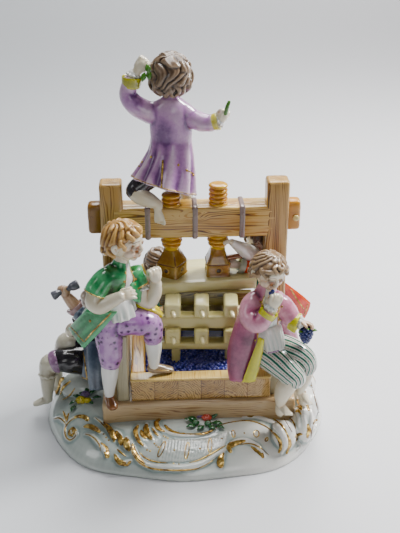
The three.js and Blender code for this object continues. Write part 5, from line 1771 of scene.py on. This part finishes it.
def makeTreader():
    name, across, front = "treader", (0.8, 0.6, 0), (0.84, -0.42, 0)
    nearArm = [(-60, -46.8, 110.6, 5.3), (-60.6, -48.4, 106, 5.5), (-57, -49.8, 104.2, 5),
               (-50.8, -50.4, 107.4, 4.2), (-44.6, -50.4, 110.8, 3.2)]
    farArm = [(-36.4, -31.8, 108.6, 5), (-34, -32, 99.6, 5.2), (-30.4, -32, 98, 5.2),
              (-27, -32, 103.6, 4.5), (-25.8, -32, 110, 3.4)]

    def hands(bm):
        sculptHand(bm, (-46.2, -50.3, 109.8), (0.88, 0.1, 0.36), (0.3, 0.6, -0.4), 1.35, 34, 1)
        sculptFist(bm, (-25.8, -32, 111), (-0.15, 0, 1), (0.5, -0.8, 0.2), 1.22, 1)
        legPiece(bm, nearArm, 20, 0)
        legPiece(bm, farArm, 20, 0)

    makeHeadAndSkin(name, (-43.8, -36, 138.5), (0.95, -0.3, -0.17), 11.2, "ginger", "tufts", 7,
                    [(-46, -37.5, 118, 5.6), (-45.4, -37.2, 125, 4.5), (-44.6, -36.8, 130, 4.6)], hands)
    body = [(-52.8, -38.4, 96, 10.4, 8.8), (-51.4, -38.6, 104, 10.8, 8.6), (-49, -38.2, 113, 11.6, 8.4),
            (-47.2, -37.9, 119.5, 10.6, 7.6), (-45.8, -37.4, 123.5, 6.2, 5.8), (-45.4, -37.2, 126, 5, 4.8)]
    skirt = [(-52, -37.4, 104, 10.6, 8.6), (-56.6, -34.6, 96, 11, 8), (-62, -31, 87, 11, 7),
             (-66, -28.6, 79, 10, 5.6)]
    near = [(-52, -41, 119, 6.6), (-55.6, -43.4, 116.6, 6.9), (-58.6, -45.8, 113, 7.1),
            (-60, -46.8, 110.2, 7.1)]
    far = [(-40, -31.5, 118, 6.2), (-37.4, -31.6, 111.6, 6.2), (-36.4, -31.8, 108.6, 6.3)]
    coat = bmesh.new()
    frontAngle = bearingOf(body, across, front)
    loft(coat, body, 40, across, 5, coatRipple(frontAngle, 9, 12, 7, 0.02, 0.74))
    skirtFront = bearingOf(skirt, across, front)
    loft(coat, skirt, 56, across, 6, coatRipple(skirtFront, 40, 84, 8, 0.06, 0.4), hem=4)
    panel(coat, [(-46.6, -51.4, 102), (-65, -43.6, 99), (-78, -33, 81), (-68.8, -40.4, 71.4)], 2.4,
          (-0.3, -3, 0.8), 0.1)
    panel(coat, [(-41.6, -38.6, 113), (-36, -33.4, 113), (-36.4, -34, 98.4), (-40, -40.4, 103)], 2.4,
          (1, -1.4, 0), 0.08, 2)
    for rows in (near, far):
        loft(coat, rows, 24, limbAcross, 6, wrinkle(0.03, 2, 1), 0.15, 1.2)
    # Soft dark patches on the jacket: painted shade
    clouds = [((-50, -46, 108), (7, 9, 8), 0.4), ((-60, -46, 107), (6, 8, 4), 0.4),
              ((-72, -34, 80), (10, 10, 12), 0.45), ((-38, -34, 110), (4, 6, 5), 0.35),
              ((-44, -44, 103), (5, 8, 4), 0.35)]
    coatPiece = putFused(coat, name + "Jacket", shadePatched(name + "Green", "emerald", clouds), 0.55, 4, 0.8)
    shirt = bmesh.new()
    loft(shirt, [(x, y, z, w * 0.93, d * 0.95) for x, y, z, w, d in body], 30, across, 4)
    loft(shirt, [(-49.6, -39.4, 104, 9.4, 8.2), (-47.6, -38.6, 98, 9.6, 8.6), (-46.6, -39, 91.6, 10, 9)],
         56, across, 5, hemRipple(13, 0.08), hem=3)
    ruffle(shirt, (-36, -31.8, 107.4), (0, -0.2, -1), 5.7, 0.06, 8)
    putFused(shirt, name + "Shirt", "white", 0.5, 1, 0.7)
    roll = bmesh.new()
    loft(roll, [(-64, -44.6, 111.6, 2.4), (-65.2, -45.6, 108, 3.6), (-64.2, -47, 104.2, 3.2),
                (-61.6, -48.4, 101.8, 2)], 16,
         limbAcross, 5, wrinkle(0.1, 3, 2))
    putFused(roll, name + "Roll", "taupe", 0.45, 2)
    breeches = bmesh.new()
    loft(breeches, [(-54, -38.4, 90, 9.6), (-54.6, -39, 78, 8.6), (-54, -40.6, 66, 7.4),
                    (-54.4, -41, 60, 6.2)], 24,
         (1, 0, 0), 5, wrinkle(0.03, 3, 2))
    loft(breeches, [(-48, -38, 88, 9.2), (-38, -37, 86.8, 8.6), (-30.4, -36, 84.6, 7.6),
                    (-28.4, -35.5, 78, 6.2), (-28.4, -35, 73.4, 5.6)], 24, limbAcross, 5,
                    wrinkle(0.03, 3, 2))
    finishPiece(breeches, name + "Breeches", spotted(), 0.6, 1, 0.7)
    stockings = bmesh.new()
    loft(stockings, [(-54.4, -41, 61.4, 5.4), (-54.8, -41.6, 54, 5.4), (-55.4, -41.6, 47, 4.5),
                     (-56, -41.5, 37.6, 3.1)], 20,
         (1, 0, 0), 5)
    loft(stockings, [(-28.4, -35.3, 75.4, 4.9), (-28.2, -34.6, 68.6, 5.2), (-28.3, -33.4, 60, 4.1),
                     (-28.6, -32.2, 52, 3)],
         20, (1, 0, 0), 5)
    putFused(stockings, name + "Stockings", "white", 0.55)
    shoes = bmesh.new()
    shoe(shoes, (-56.6, -40, 34.4), (-53, -48.6, 33.2), 4)
    putFused(shoes, name + "ShoeLeft", "shoe", 0.45)
    grey = bmesh.new()
    shoe(grey, (-29.6, -32.2, 50.2), (-17.4, -29.4, 48.8), 3.6)
    greyPiece = putFused(grey, name + "ShoeRight", "greyShoe", 0.45)
    surfaces, trim = surfaceOf(coatPiece), bmesh.new()
    for side in (-1, 1):
        goldLine(trim, surfaces, [onLoft(body, across, frontAngle + side * 19, s, 1.02)
                                  for s in np.linspace(0.06, 0.86, 8)])
    stroke(trim, surfaces, [(84.6, 341.6), (92, 332.6), (103, 321.4), (113, 311)], 0.5, 0.3, 5, 0.7)
    stroke(trim, surfaces, [(70.4, 326.6), (77, 334), (83.6, 341.4)], 0.4, 0.3, 5, 0.7)
    studs(trim, surfaces, [(95, 313), (100, 306.5), (90, 321)])
    back = skirtFront + 180
    hemLine(trim, surfaces, skirt, across, [back + a for a in range(-84, 85, 12)])
    for rows in (near, far):
        hemLine(trim, surfaces, rows, limbAcross, range(0, 361, 24), 0.94, 1.05, 0.32)
    for share in (0.15, 0.35, 0.55, 0.74):
        button(trim, surfaces, onLoft(body, across, frontAngle - 27, share, 1.05))
        button(trim, surfaces, onLoft(body, across, frontAngle + 27, share, 1.05))
    goldLine(trim, surfaceOf(greyPiece), [(-30.6, -35, 51.6), (-25, -35.4, 50.6), (-18, -32.6, 49)], 0.3)
    put(trim, name + "GoldTrim", "gold")
    cloth = bmesh.new()
    loft(cloth, [(-37, -34, 96.6, 1.8, 3), (-33, -33, 94.6, 2.8, 3.8), (-27.4, -32, 91, 3.2, 3.6),
                 (-23.4, -31, 87.6, 1.4, 2.2)], 28,
         (0, 0, 1), 5, fluted(0.14, 5, 3))
    putFused(cloth, name + "Sash", "lemon", 0.5, 2)
    print("treading boy ready")


# Bunch of grapes in the eating boy's far hand; the turn from berry to berry is in radians
bunch = {"count": 70, "turn": 2.39996, "wide": 3.5, "berry": 1.1, "seed": 4}


def makeEater():
    name, across, front = "eater", (0.94, 0.34, 0), (0.34, -0.94, 0)

    def hands(bm):
        sculptFist(bm, (42, -48, 102.6), (0.22, 0, 0.96), (0.25, -0.95, 0.2), 1.2, -1)
        legPiece(bm, [(55.4, -49.8, 54, 5.4), (53.4, -49.8, 52, 6), (51, -50, 47.5, 5.9),
                      (49.4, -50.4, 42, 4.6), (48.8, -50.4, 37, 3)], 20, 0)
        legPiece(bm, [(64.4, -40.6, 60, 5.2), (64, -41, 53, 5.2), (62.8, -41, 46, 4.2),
                      (61.4, -40.6, 39.4, 2.9)], 20, 0)
        bareFoot(bm, (48.8, -50, 36), (53.8, -56, 32.4), 3.3, (0.1, -0.4, -0.9))
        bareFoot(bm, (61.4, -40.6, 38.4), (68, -45, 32.6), 3.2, (0.3, -0.4, -0.85))
        ball(bm, (49.4, -46, 30), (3.2, 4.4, 5.4))
        ball(bm, (64.6, -39, 32), (3.4, 4, 4.6))

    makeHeadAndSkin(name, (39.8, -36, 119.8), (0.42, -0.8, -0.42), 10.2, "nut", "swirled", 12,
                    [(38.6, -35, 102, 5.4), (38.8, -35.4, 108, 4.4), (39, -35.6, 113, 4.6)], hands, -6)
    farHand = bmesh.new()
    sculptHand(farHand, (59.6, -41.4, 88.6), (0.9, -0.3, 0), (0.1, -0.5, -0.9), 1.15, 40, -1)
    putFused(farHand, name + "FarHand", "shadedSkin", 0.4, 1, 0.7)
    body = [(38, -32, 62, 11.6, 10), (38, -33, 72, 11, 9), (38, -34, 84, 10.8, 8.6),
            (38.4, -35, 96, 11.4, 8.4), (38.5, -35, 102.4, 9.6, 7.4), (38.5, -35.4, 106.6, 6.4, 6),
            (38.7, -35.6, 109.6, 5.1, 4.9)]
    coat = bmesh.new()
    frontAngle = bearingOf(body, across, front)
    loft(coat, body, 44, across, 5, coatRipple(frontAngle, 32, 14, 7, 0.02, 0.72))
    skirt = [(32.6, -34, 92, 9, 8), (30, -35, 80, 10, 8.4), (27, -37, 66, 10.4, 7.6),
             (25.4, -39.6, 54, 8.8, 4.6), (25.6, -40.6, 47.4, 7.4, 3)]
    loft(coat, skirt, 48, (1, 0, 0), 6, hemRipple(4, 0.04), hem=3)
    tail = [(47, -28, 84, 8, 7), (51, -24, 70, 9, 7), (54, -22, 56, 9.6, 7.6)]
    loft(coat, tail, 40, (1, 0, 0), 5, hemRipple(7, 0.08), hem=3)
    near = [(34, -36.4, 100.6, 6.6), (30.6, -39.4, 98.6, 6.9), (29.4, -44, 93.8, 6.8),
            (33.2, -48.4, 92.2, 6.3), (37, -49, 95.4, 5.2), (38.8, -48.8, 97.8, 4.8)]
    far = [(44, -35, 100, 6.4), (50, -36.4, 95.4, 6.3), (54.8, -39, 88.8, 5.6)]
    for rows in (near, far):
        loft(coat, rows, 26, limbAcross, 6, wrinkle(0.03, 3, 1))
    # Soft dark patches on the coat: painted shade
    clouds = [((24, -40, 56), (18, 18, 36), 0.4), ((34, -49, 82), (8, 8, 5), 0.45),
              ((30, -42, 78), (9, 12, 8), 0.35), ((34, -42, 95), (4, 6, 5), 0.35)]
    coatPiece = putFused(coat, name + "Coat", shadePatched(name + "Rose", "rose", clouds), 0.55, 5, 0.8)
    lining = bmesh.new()
    panel(lining, [(35.8, -44.8, 81), (37.4, -45.4, 80), (33.4, -45, 50.6), (26, -43.4, 48.8)], 1.6,
          (0, -2.6, 0))
    putFused(lining, name + "Lining", "lime", 0.45)
    vest = bmesh.new()
    loft(vest, [(x, y, z, w * 0.92, d * 0.95) for x, y, z, w, d in body], 60, across, 5,
         fluted(0.02, 26))
    loft(vest, [(40.4, -35.4, 80, 9, 9), (42, -36.6, 74, 8.6, 9.8), (42.8, -37.4, 69.6, 8.6, 10.6)], 60,
         across, 5, lambda angle, share: 1 + (0.02 + 0.03 * share) * math.sin(20 * angle), hem=2)
    ruffle(vest, (40.4, -48.4, 101.6), (0.35, 0, 1), 3.7)
    ruffle(vest, (58.6, -40.8, 88.2), (0.9, -0.25, 0), 3.8)
    vestPiece = putFused(vest, name + "Vest", "white", 0.45, 1, 0.7)
    cuffs = bmesh.new()
    cuffPiece(cuffs, (40, -48.6, 100), (0.5, -0.05, 0.86), 4.9, 4.2, 1.12)
    cuffPiece(cuffs, (57.6, -40.4, 87.4), (0.9, -0.35, -0.2), 5.2, 4.4, 1.2)
    putFused(cuffs, name + "Cuffs", "lime", 0.4)
    stripes = striped()
    for k, rows in enumerate(([(39, -37, 66, 9.8), (47, -43.6, 62.4, 9), (53.4, -49, 58.4, 7.8),
                               (56.8, -50.6, 55.4, 6.8), (57, -51, 52.6, 5)],
                              [(46, -33.6, 67, 9.4), (55, -37, 66, 8.6), (62, -40, 63.6, 7.6),
                               (64.8, -40.6, 59, 6.4), (64.4, -41, 55.4, 5.6)])):
        leg = bmesh.new()
        loft(leg, rows, 56, (0.2, -0.3, 1), 8, wrinkle(0.02, 3, 2), mark=True)
        finishPiece(leg, name + "Breeches" + "AB"[k], stripes, rounds=10)
    surfaces, trim = surfaceOf(coatPiece), bmesh.new()
    for side in (-1, 1):
        goldLine(trim, surfaces, [onLoft(body, across, frontAngle + side * (40 - 14 * s), s, 1.02)
                                  for s in np.linspace(0.1, 0.84, 8)])
        for share in (0.25, 0.4, 0.55, 0.7):
            button(trim, surfaces, onLoft(body, across, frontAngle + side * (48 - 14 * share), share, 1.05),
                   0.7)
    put(trim, name + "GoldTrim", "gold")
    hem = bmesh.new()
    stroke(hem, surfaceOf(vestPiece), [(262.5, 352.4), (270, 352.6), (279, 350.6)], 0.55, 0.3, 5, 0.8)
    put(hem, name + "HemLine", "purple")
    fruit, draw = bmesh.new(), random.Random(bunch["seed"])
    for k in range(bunch["count"]):
        share = k / bunch["count"]
        angle = bunch["turn"] * k
        wide = bunch["wide"] * math.sin(math.pi * (0.25 + 0.72 * share)) ** 0.8
        size = bunch["berry"] * draw.uniform(0.9, 1.1)
        ball(fruit, (63 + wide * math.cos(angle), -42 + wide * math.sin(angle), 86 - 11 * share),
             (size, size, size), None, 2)
    for x, y, z in ((40.4, -48, 111.4), (41.6, -47.6, 112.4)):
        ball(fruit, (x, y, z), (1.3, 1.2, 1.4), None, 2)
    ball(fruit, (63, -42, 81.4), (2.4, 2.4, 4.6))
    put(fruit, name + "Grapes", "berry", rounds=3)
    sprig = bmesh.new()
    for x, y, z, way in ((60.6, -44, 84, (-0.7, -0.5, 0.1)), (66, -44, 84.6, (0.8, -0.5, 0.2)),
                         (63, -45, 86, (0.1, -0.7, 0.3))):
        leaf(sprig, (x, y, z), way, 3.6, (0, -0.6, 1))
    put(sprig, name + "GrapeLeaves", "leafy")
    print("eating boy ready")


def makeTurner():
    name, across, front = "turner", (0.5, -0.86, 0), (-0.8, -0.55, 0)

    def hands(bm):
        sculptFist(bm, (24.6, 19.8, 96.4), (-0.93, -0.1, 0.36), (0.1, -0.8, 0.6), 1.0, 1)
        sculptHand(bm, (19.8, 15.4, 114.6), (-0.7, -0.6, 0.6), (0.2, -0.6, -0.8), 0.9, 70, 1)

    makeHeadAndSkin(name, (41.4, 38, 105.4), (-0.8, -0.55, -0.25), 10.6, "dark", "waves", 21,
                    [(40, 38.3, 90, 5.4), (40.6, 38, 96, 4.4), (41.2, 38, 100, 4.5)], hands)
    body = [(51, 42, 58, 10, 9), (47, 40.6, 68, 10.4, 8.8), (43, 39.4, 80, 11, 8.8), (40, 38.6, 88.6, 11, 8),
            (40.4, 38.3, 93, 7, 5.8), (40.6, 38.1, 95.6, 5, 4.8)]
    skirt = [(48, 41, 70, 10.6, 9.4), (53, 43, 61, 11.4, 10.4), (57, 45, 50, 12, 11)]
    near = [(38.4, 33, 89, 6.6), (38, 27, 90, 6), (35, 22.6, 92.4, 5.2), (29.4, 21, 94.6, 4.6)]
    coat = bmesh.new()
    frontAngle = bearingOf(body, across, front)
    loft(coat, body, 40, across, 5, coatRipple(frontAngle, 26, 14, 7, 0.02))
    skirtFront = bearingOf(skirt, across, front)
    loft(coat, skirt, 48, across, 6, coatRipple(skirtFront, 34, 60, 8, 0.06, 0.55), hem=4)
    panel(coat, [(57, 37, 76), (76, 42, 57), (72.9, 41, 45.6), (57, 38, 51)], 2.2, (1, -2.4, 0.6), 0.1, 2)
    loft(coat, near, 22, limbAcross, 6, wrinkle(0.04, 3, 1))
    coatPiece = putFused(coat, name + "Coat", "scarlet", 0.6, 2, 0.7)
    shirt = bmesh.new()
    loft(shirt, [(38, 32, 94, 6.4), (33.6, 28.4, 100.6, 6), (30.6, 24.6, 104, 5.4), (25.4, 20, 109.4, 3.9),
                 (20, 16.4, 114.6, 2.2)], 24, limbAcross, 5, wrinkle(0.03, 2, 1))
    ruffle(shirt, (40.5, 38.2, 95), (0, 0, 1), 4.9, 0.08, 12)
    putFused(shirt, name + "Shirt", "white", 0.55)
    vest = bmesh.new()
    loft(vest, [(x, y, z, w * 0.92, d * 0.95) for x, y, z, w, d in body], 30, across, 4)
    putFused(vest, name + "Waistcoat", "teal", 0.65)
    cuffs = bmesh.new()
    cuffPiece(cuffs, (25.8, 20.2, 96), (-0.93, -0.1, 0.36), 4.6, 3.4, 1.1)
    putFused(cuffs, name + "Cuff", "sage", 0.45)
    legs = bmesh.new()
    legPiece(legs, [(53, 44, 56, 8.6), (51, 42, 44, 7.2), (50.4, 41.4, 36, 5.8)])
    legPiece(legs, [(60, 47, 54, 8.6), (60, 49.6, 42, 7.2), (60, 50.4, 34, 5.8)])
    putFused(legs, name + "Breeches", "straw", 0.65)
    stockings = bmesh.new()
    legPiece(stockings, [(50.4, 41.4, 37, 5), (50.6, 42.4, 30, 4.7), (52, 45, ground(52, 45) + 3, 3.1)])
    legPiece(stockings, [(60, 50.4, 35, 5), (60, 51.6, 28, 4.7), (60.4, 54, ground(60, 54) + 3, 3.1)])
    putFused(stockings, name + "Stockings", "white", 0.6)
    shoes = bmesh.new()
    shoe(shoes, (53, 46, ground(53, 46) + 2.6), (45.6, 41, ground(46, 41) + 2.4), 3.7)
    shoe(shoes, (61, 55, ground(61, 55) + 2.6), (53.6, 51, ground(54, 51) + 2.4), 3.7)
    putFused(shoes, name + "Shoes", "shoe", 0.5)
    surfaces, trim = surfaceOf(coatPiece), bmesh.new()
    back = skirtFront + 180
    hemLine(trim, surfaces, skirt, across, [back + a for a in range(-110, 111, 11)])
    for side in (-1, 1):
        goldLine(trim, surfaces, [onLoft(skirt, across, skirtFront + side * (46 + 26 * s), s, 1.05)
                                  for s in np.linspace(0.1, 0.95, 7)])
        button(trim, surfaces, onLoft(skirt, across, back + side * 24, 0.12, 1.05))
    goldLine(trim, surfaces, [onLoft(skirt, across, back, s, 1.08) for s in np.linspace(0.3, 0.95, 6)])
    stroke(trim, surfaces, [(291, 289.6), (295, 296), (300, 303.6), (304, 309)], 0.5, 0.3, 5, 0.7)
    stroke(trim, surfaces, [(303.6, 315), (306, 309.6), (307.6, 304)], 0.4, 0.3, 5, 0.7)
    put(trim, name + "GoldTrim", "gold")
    lever = bmesh.new()
    loft(lever, [(14, 15.6, 102.6, 1.8), (20, 18.6, 102.8, 1.9), (31, 24.6, 101.2, 1.6)], 14)
    put(lever, name + "Lever", "shoe")
    print("turning boy ready")


def makeMallet():
    name, across, front = "malletBoy", (0.25, -0.97, 0), (-0.95, -0.3, 0)
    forearm = [(-77.6, -5.6, 78, 4.4), (-81, -4.6, 82, 4.1), (-84.4, -4.2, 86.6, 3.2)]

    def hands(bm):
        ball(bm, (-82.4, -6, 62.6), (4.2, 4, 4.8), (0.3, 0, 1))

    makeHeadAndSkin(name, (-52, -6.5, 97), (-0.9, -0.35, -0.2), 10.4, "ashen", "swirled", 33,
                    [(-55.5, -5, 82, 5.4), (-54, -5.8, 88, 4.4), (-53, -6.2, 92, 4.5)], hands)
    grip = bmesh.new()
    legPiece(grip, forearm, 16, 0)
    sculptFist(grip, (-84.6, -4.6, 86.4), (-0.35, 0, 0.93), (-0.6, -0.8, 0.1), 1.05, 1)
    putFused(grip, name + "Forearm", "shadedSkin", 0.42, 1, 0.7)
    body = [(-71, -0.6, 36, 10.4, 9.4), (-67, -1.6, 50, 10.6, 9), (-62, -3, 64, 11, 8.8),
            (-58.4, -4, 77, 11.2, 8.2), (-56, -4.8, 83, 7.4, 6), (-55, -5.2, 86.4, 5, 4.8)]
    skirt = [(-65, -4, 66, 10, 7), (-65, -9, 50, 10, 7), (-66, -13, 38, 10, 6), (-67, -15, 31, 9.6, 5)]
    near = [(-59, -12, 79.6, 6.6), (-67, -10, 76, 6.5), (-73.6, -7.6, 75, 6.4), (-76.6, -6.2, 76.6, 6)]
    far = [(-62, 4, 79.4, 6.2), (-70, 3.6, 72, 6), (-77, 1.4, 66, 5.4), (-80, -1, 64.4, 4.8)]
    coat = bmesh.new()
    frontAngle = bearingOf(body, across, front)
    loft(coat, body, 40, across, 5, coatRipple(frontAngle, 34, 18, 7, 0.02))
    loft(coat, skirt, 44, (1, 0, 0), 6, hemRipple(7, 0.06), hem=3)
    panel(coat, [(-70.9, -13, 59), (-58, -12, 60), (-61, -21, 28), (-70, -22, 28.6)], 2.2, (-0.6, -3.4, 0),
          0.1, 2)
    for rows in (near, far):
        loft(coat, rows, 24, limbAcross, 6, wrinkle(0.04, 3, 1), 0.15, 1.2)
    coatPiece = putFused(coat, name + "Coat", "slate", 0.6, 2, 0.7)
    vest = bmesh.new()
    loft(vest, [(x, y, z, w * 0.92, d * 0.95) for x, y, z, w, d in body], 30, across, 4)
    ruffle(vest, (-55, -5.2, 85.8), (0, 0, 1), 4.9, 0.08, 12)
    putFused(vest, name + "Vest", "white", 0.6)
    cuffs = bmesh.new()
    cuffPiece(cuffs, (-79.2, -5, 79.6), (-0.62, 0.1, 0.78), 5.6, 3.6)
    putFused(cuffs, name + "Cuff", "mauve", 0.45)
    breeches = bmesh.new()
    legPiece(breeches, [(-74, -4, 38, 9.8), (-84, -8, 41, 8.8), (-90.6, -9.4, 41.8, 7.6),
                        (-92.6, -9.6, 41.4, 7.2)])
    legPiece(breeches, [(-75, 3, 40, 9.4), (-82, 2.4, 46, 8.4), (-86.4, 1, 49.4, 7)])
    putFused(breeches, name + "Breeches", "ink", 0.6)
    garter = bmesh.new()
    loft(garter, [(-92, -9.4, 41.2, 7.6), (-94, -9.8, 41, 7.8), (-95.6, -10, 40.4, 7.2)], 24, limbAcross, 4,
         fluted(0.03, 12), 0.2)
    putFused(garter, name + "Garters", "purple", 0.45)
    stockings = bmesh.new()
    legPiece(stockings, [(-94.6, -9.9, 40.4, 6.6), (-98, -10, 39.4, 6.5), (-99.4, -10.4, 35, 5.6),
                         (-99.6, -11, 30.4, 5.3), (-100.2, -11.8, 22, 4.2), (-100.6, -12, 14, 3.1)], 20, 0)
    legPiece(stockings, [(-84.6, 0.6, 50, 6.6), (-88, 0, 49.4, 6.6), (-91, 1, 43, 5.4),
                         (-94.6, 2.4, 34, 4.8), (-96, 4, 25, 3.8), (-96, 4, 14, 3)], 20, 0)
    ruffle(stockings, (-99.4, -10.9, 31.4), (0.06, 0.1, 1), 5.6, 0.08, 9)
    shoe(stockings, (-100, -12, 13), (-109.6, -13, 11), 3.3)
    shoe(stockings, (-95.4, 4, 12.4), (-104.6, 4.5, 10.6), 3.3)
    putFused(stockings, name + "Stockings", "shadedWhite", 0.5)
    surfaces, trim = surfaceOf(coatPiece), bmesh.new()
    hemLine(trim, surfaces, skirt, (1, 0, 0), range(-180, 181, 18), out=1.1)
    stroke(trim, surfaces, [(82, 342), (84, 356), (86, 371), (88, 384)], 0.6, 0.3, 5, 0.8)
    put(trim, name + "GoldTrim", "gold")
    mallet = bmesh.new()
    loft(mallet, [(-92.4, -7.6, 88, 2.9), (-91.4, -7.2, 88.4, 3), (-89.4, -6.8, 89.4, 2.4),
                  (-87.6, -6, 90, 1.7), (-82.6, -4.4, 91.8, 1.8), (-81, -3.6, 92.4, 2.7),
                  (-78.4, -3, 93.4, 3.1), (-77, -2.6, 94, 3.1)],
         28, (0, 0, 1), 4, None, 0.25)
    putFused(mallet, name + "Mallet", "flint", 0.45)
    print("mallet boy ready")


def makeStooper():
    name, across, front = "stooper", (1, 0.2, 0), (0.2, -1, 0)

    def hands(bm):
        sculptHand(bm, (-33.6, 36.4, 58), (0.6, -0.4, -0.5), (0, 0, -1), 1.1, 40, 1)
        sculptHand(bm, (-19.4, 39, 59.4), (0.3, -0.6, -0.6), (0, 0, -1), 1.1, 40, -1)

    makeHeadAndSkin(name, (-27.6, 43, 86.8), (0.2, -0.4, -0.9), 9.6, "ashen", "swirled", 41,
                    [(-33.6, 46, 76, 5.4), (-33.5, 45, 82, 4.4), (-33.4, 44, 86.4, 4.5)], hands)
    body = [(-36, 60, 56, 10, 9), (-35.4, 56, 66, 10.6, 8.8), (-34.6, 51, 75, 11, 8.4),
            (-33.8, 47, 80, 7.4, 6), (-33.5, 45.6, 83, 5, 4.8)]
    skirt = [(-36, 60, 62, 10.2, 9.2), (-36, 62, 52, 12.4, 11.2), (-36, 64, 39, 15.4, 14)]
    left = [(-43.4, 53.4, 75, 6), (-43.4, 48, 68.6, 5.8), (-41.4, 43.4, 62.6, 5.4), (-37.6, 39.4, 59.6, 4.8)]
    right = [(-26, 51.4, 75, 6), (-23.4, 47.4, 69.6, 5.8), (-21.4, 44, 65, 5.4), (-20, 41.4, 61.6, 4.8)]
    coat = bmesh.new()
    frontAngle = bearingOf(body, across, front)
    loft(coat, body, 40, across, 5, coatRipple(frontAngle, 22, 14, 7, 0.02))
    skirtFront = bearingOf(skirt, across, front)
    loft(coat, skirt, 56, across, 6, coatRipple(skirtFront, 26, 44, 9, 0.08, 0.6), hem=4)
    for rows in (left, right):
        loft(coat, rows, 22, limbAcross, 6, wrinkle(0.05, 4, 1))
    coatPiece = putFused(coat, name + "Coat", "straw", 0.65, 2, 0.7)
    shirt = bmesh.new()
    loft(shirt, [(x, y, z, w * 0.93, d * 0.95) for x, y, z, w, d in body], 30, across, 4)
    ruffle(shirt, (-35.4, 37.6, 58.6), (0.6, -0.5, -0.4), 4.1)
    ruffle(shirt, (-19.6, 40.2, 60.4), (0.3, -0.6, -0.6), 4.1)
    putFused(shirt, name + "Shirt", "white", 0.6)
    legs = bmesh.new()
    legPiece(legs, [(-41.4, 62.6, 46, 7.6), (-41.2, 63, 36, 6.2), (-41, 63.6, 30, 5.4)])
    legPiece(legs, [(-30.6, 62.6, 46, 7.6), (-30.8, 63, 36, 6.2), (-31, 63.6, 30, 5.4)])
    putFused(legs, name + "Breeches", "teal", 0.65)
    stockings = bmesh.new()
    legPiece(stockings, [(-41, 63.6, 31, 4.7), (-41, 64.4, 25, 4.2), (-41, 65.6, ground(-41, 65) + 3, 3)])
    legPiece(stockings, [(-31, 63.6, 31, 4.7), (-31, 64.4, 25, 4.2), (-31, 65.6, ground(-31, 65) + 3, 3)])
    putFused(stockings, name + "Stockings", "white", 0.6)
    shoes = bmesh.new()
    shoe(shoes, (-41, 66, ground(-41, 66) + 2.6), (-43, 57, ground(-43, 57) + 2.4), 3.7)
    shoe(shoes, (-31, 66, ground(-31, 66) + 2.6), (-30, 57, ground(-30, 57) + 2.4), 3.7)
    putFused(shoes, name + "Shoes", "shoe", 0.5)
    surfaces, trim = surfaceOf(coatPiece), bmesh.new()
    back = skirtFront + 180
    goldLine(trim, surfaces, [onLoft(skirt, across, back, s, 1.08) for s in np.linspace(0.25, 0.95, 6)])
    hemLine(trim, surfaces, skirt, across, [back + a for a in range(-132, 133, 12)])
    for side in (-1, 1):
        button(trim, surfaces, onLoft(skirt, across, back + side * 22, 0.12, 1.05))
        hemLine(trim, surfaces, skirt, across, [back + side * a for a in (34, 46, 58)], 0.4)
    put(trim, name + "GoldTrim", "gold")
    print("stooping child ready")


makeLookout()
makeTreader()
makeEater()
makeTurner()
makeMallet()
makeStooper()
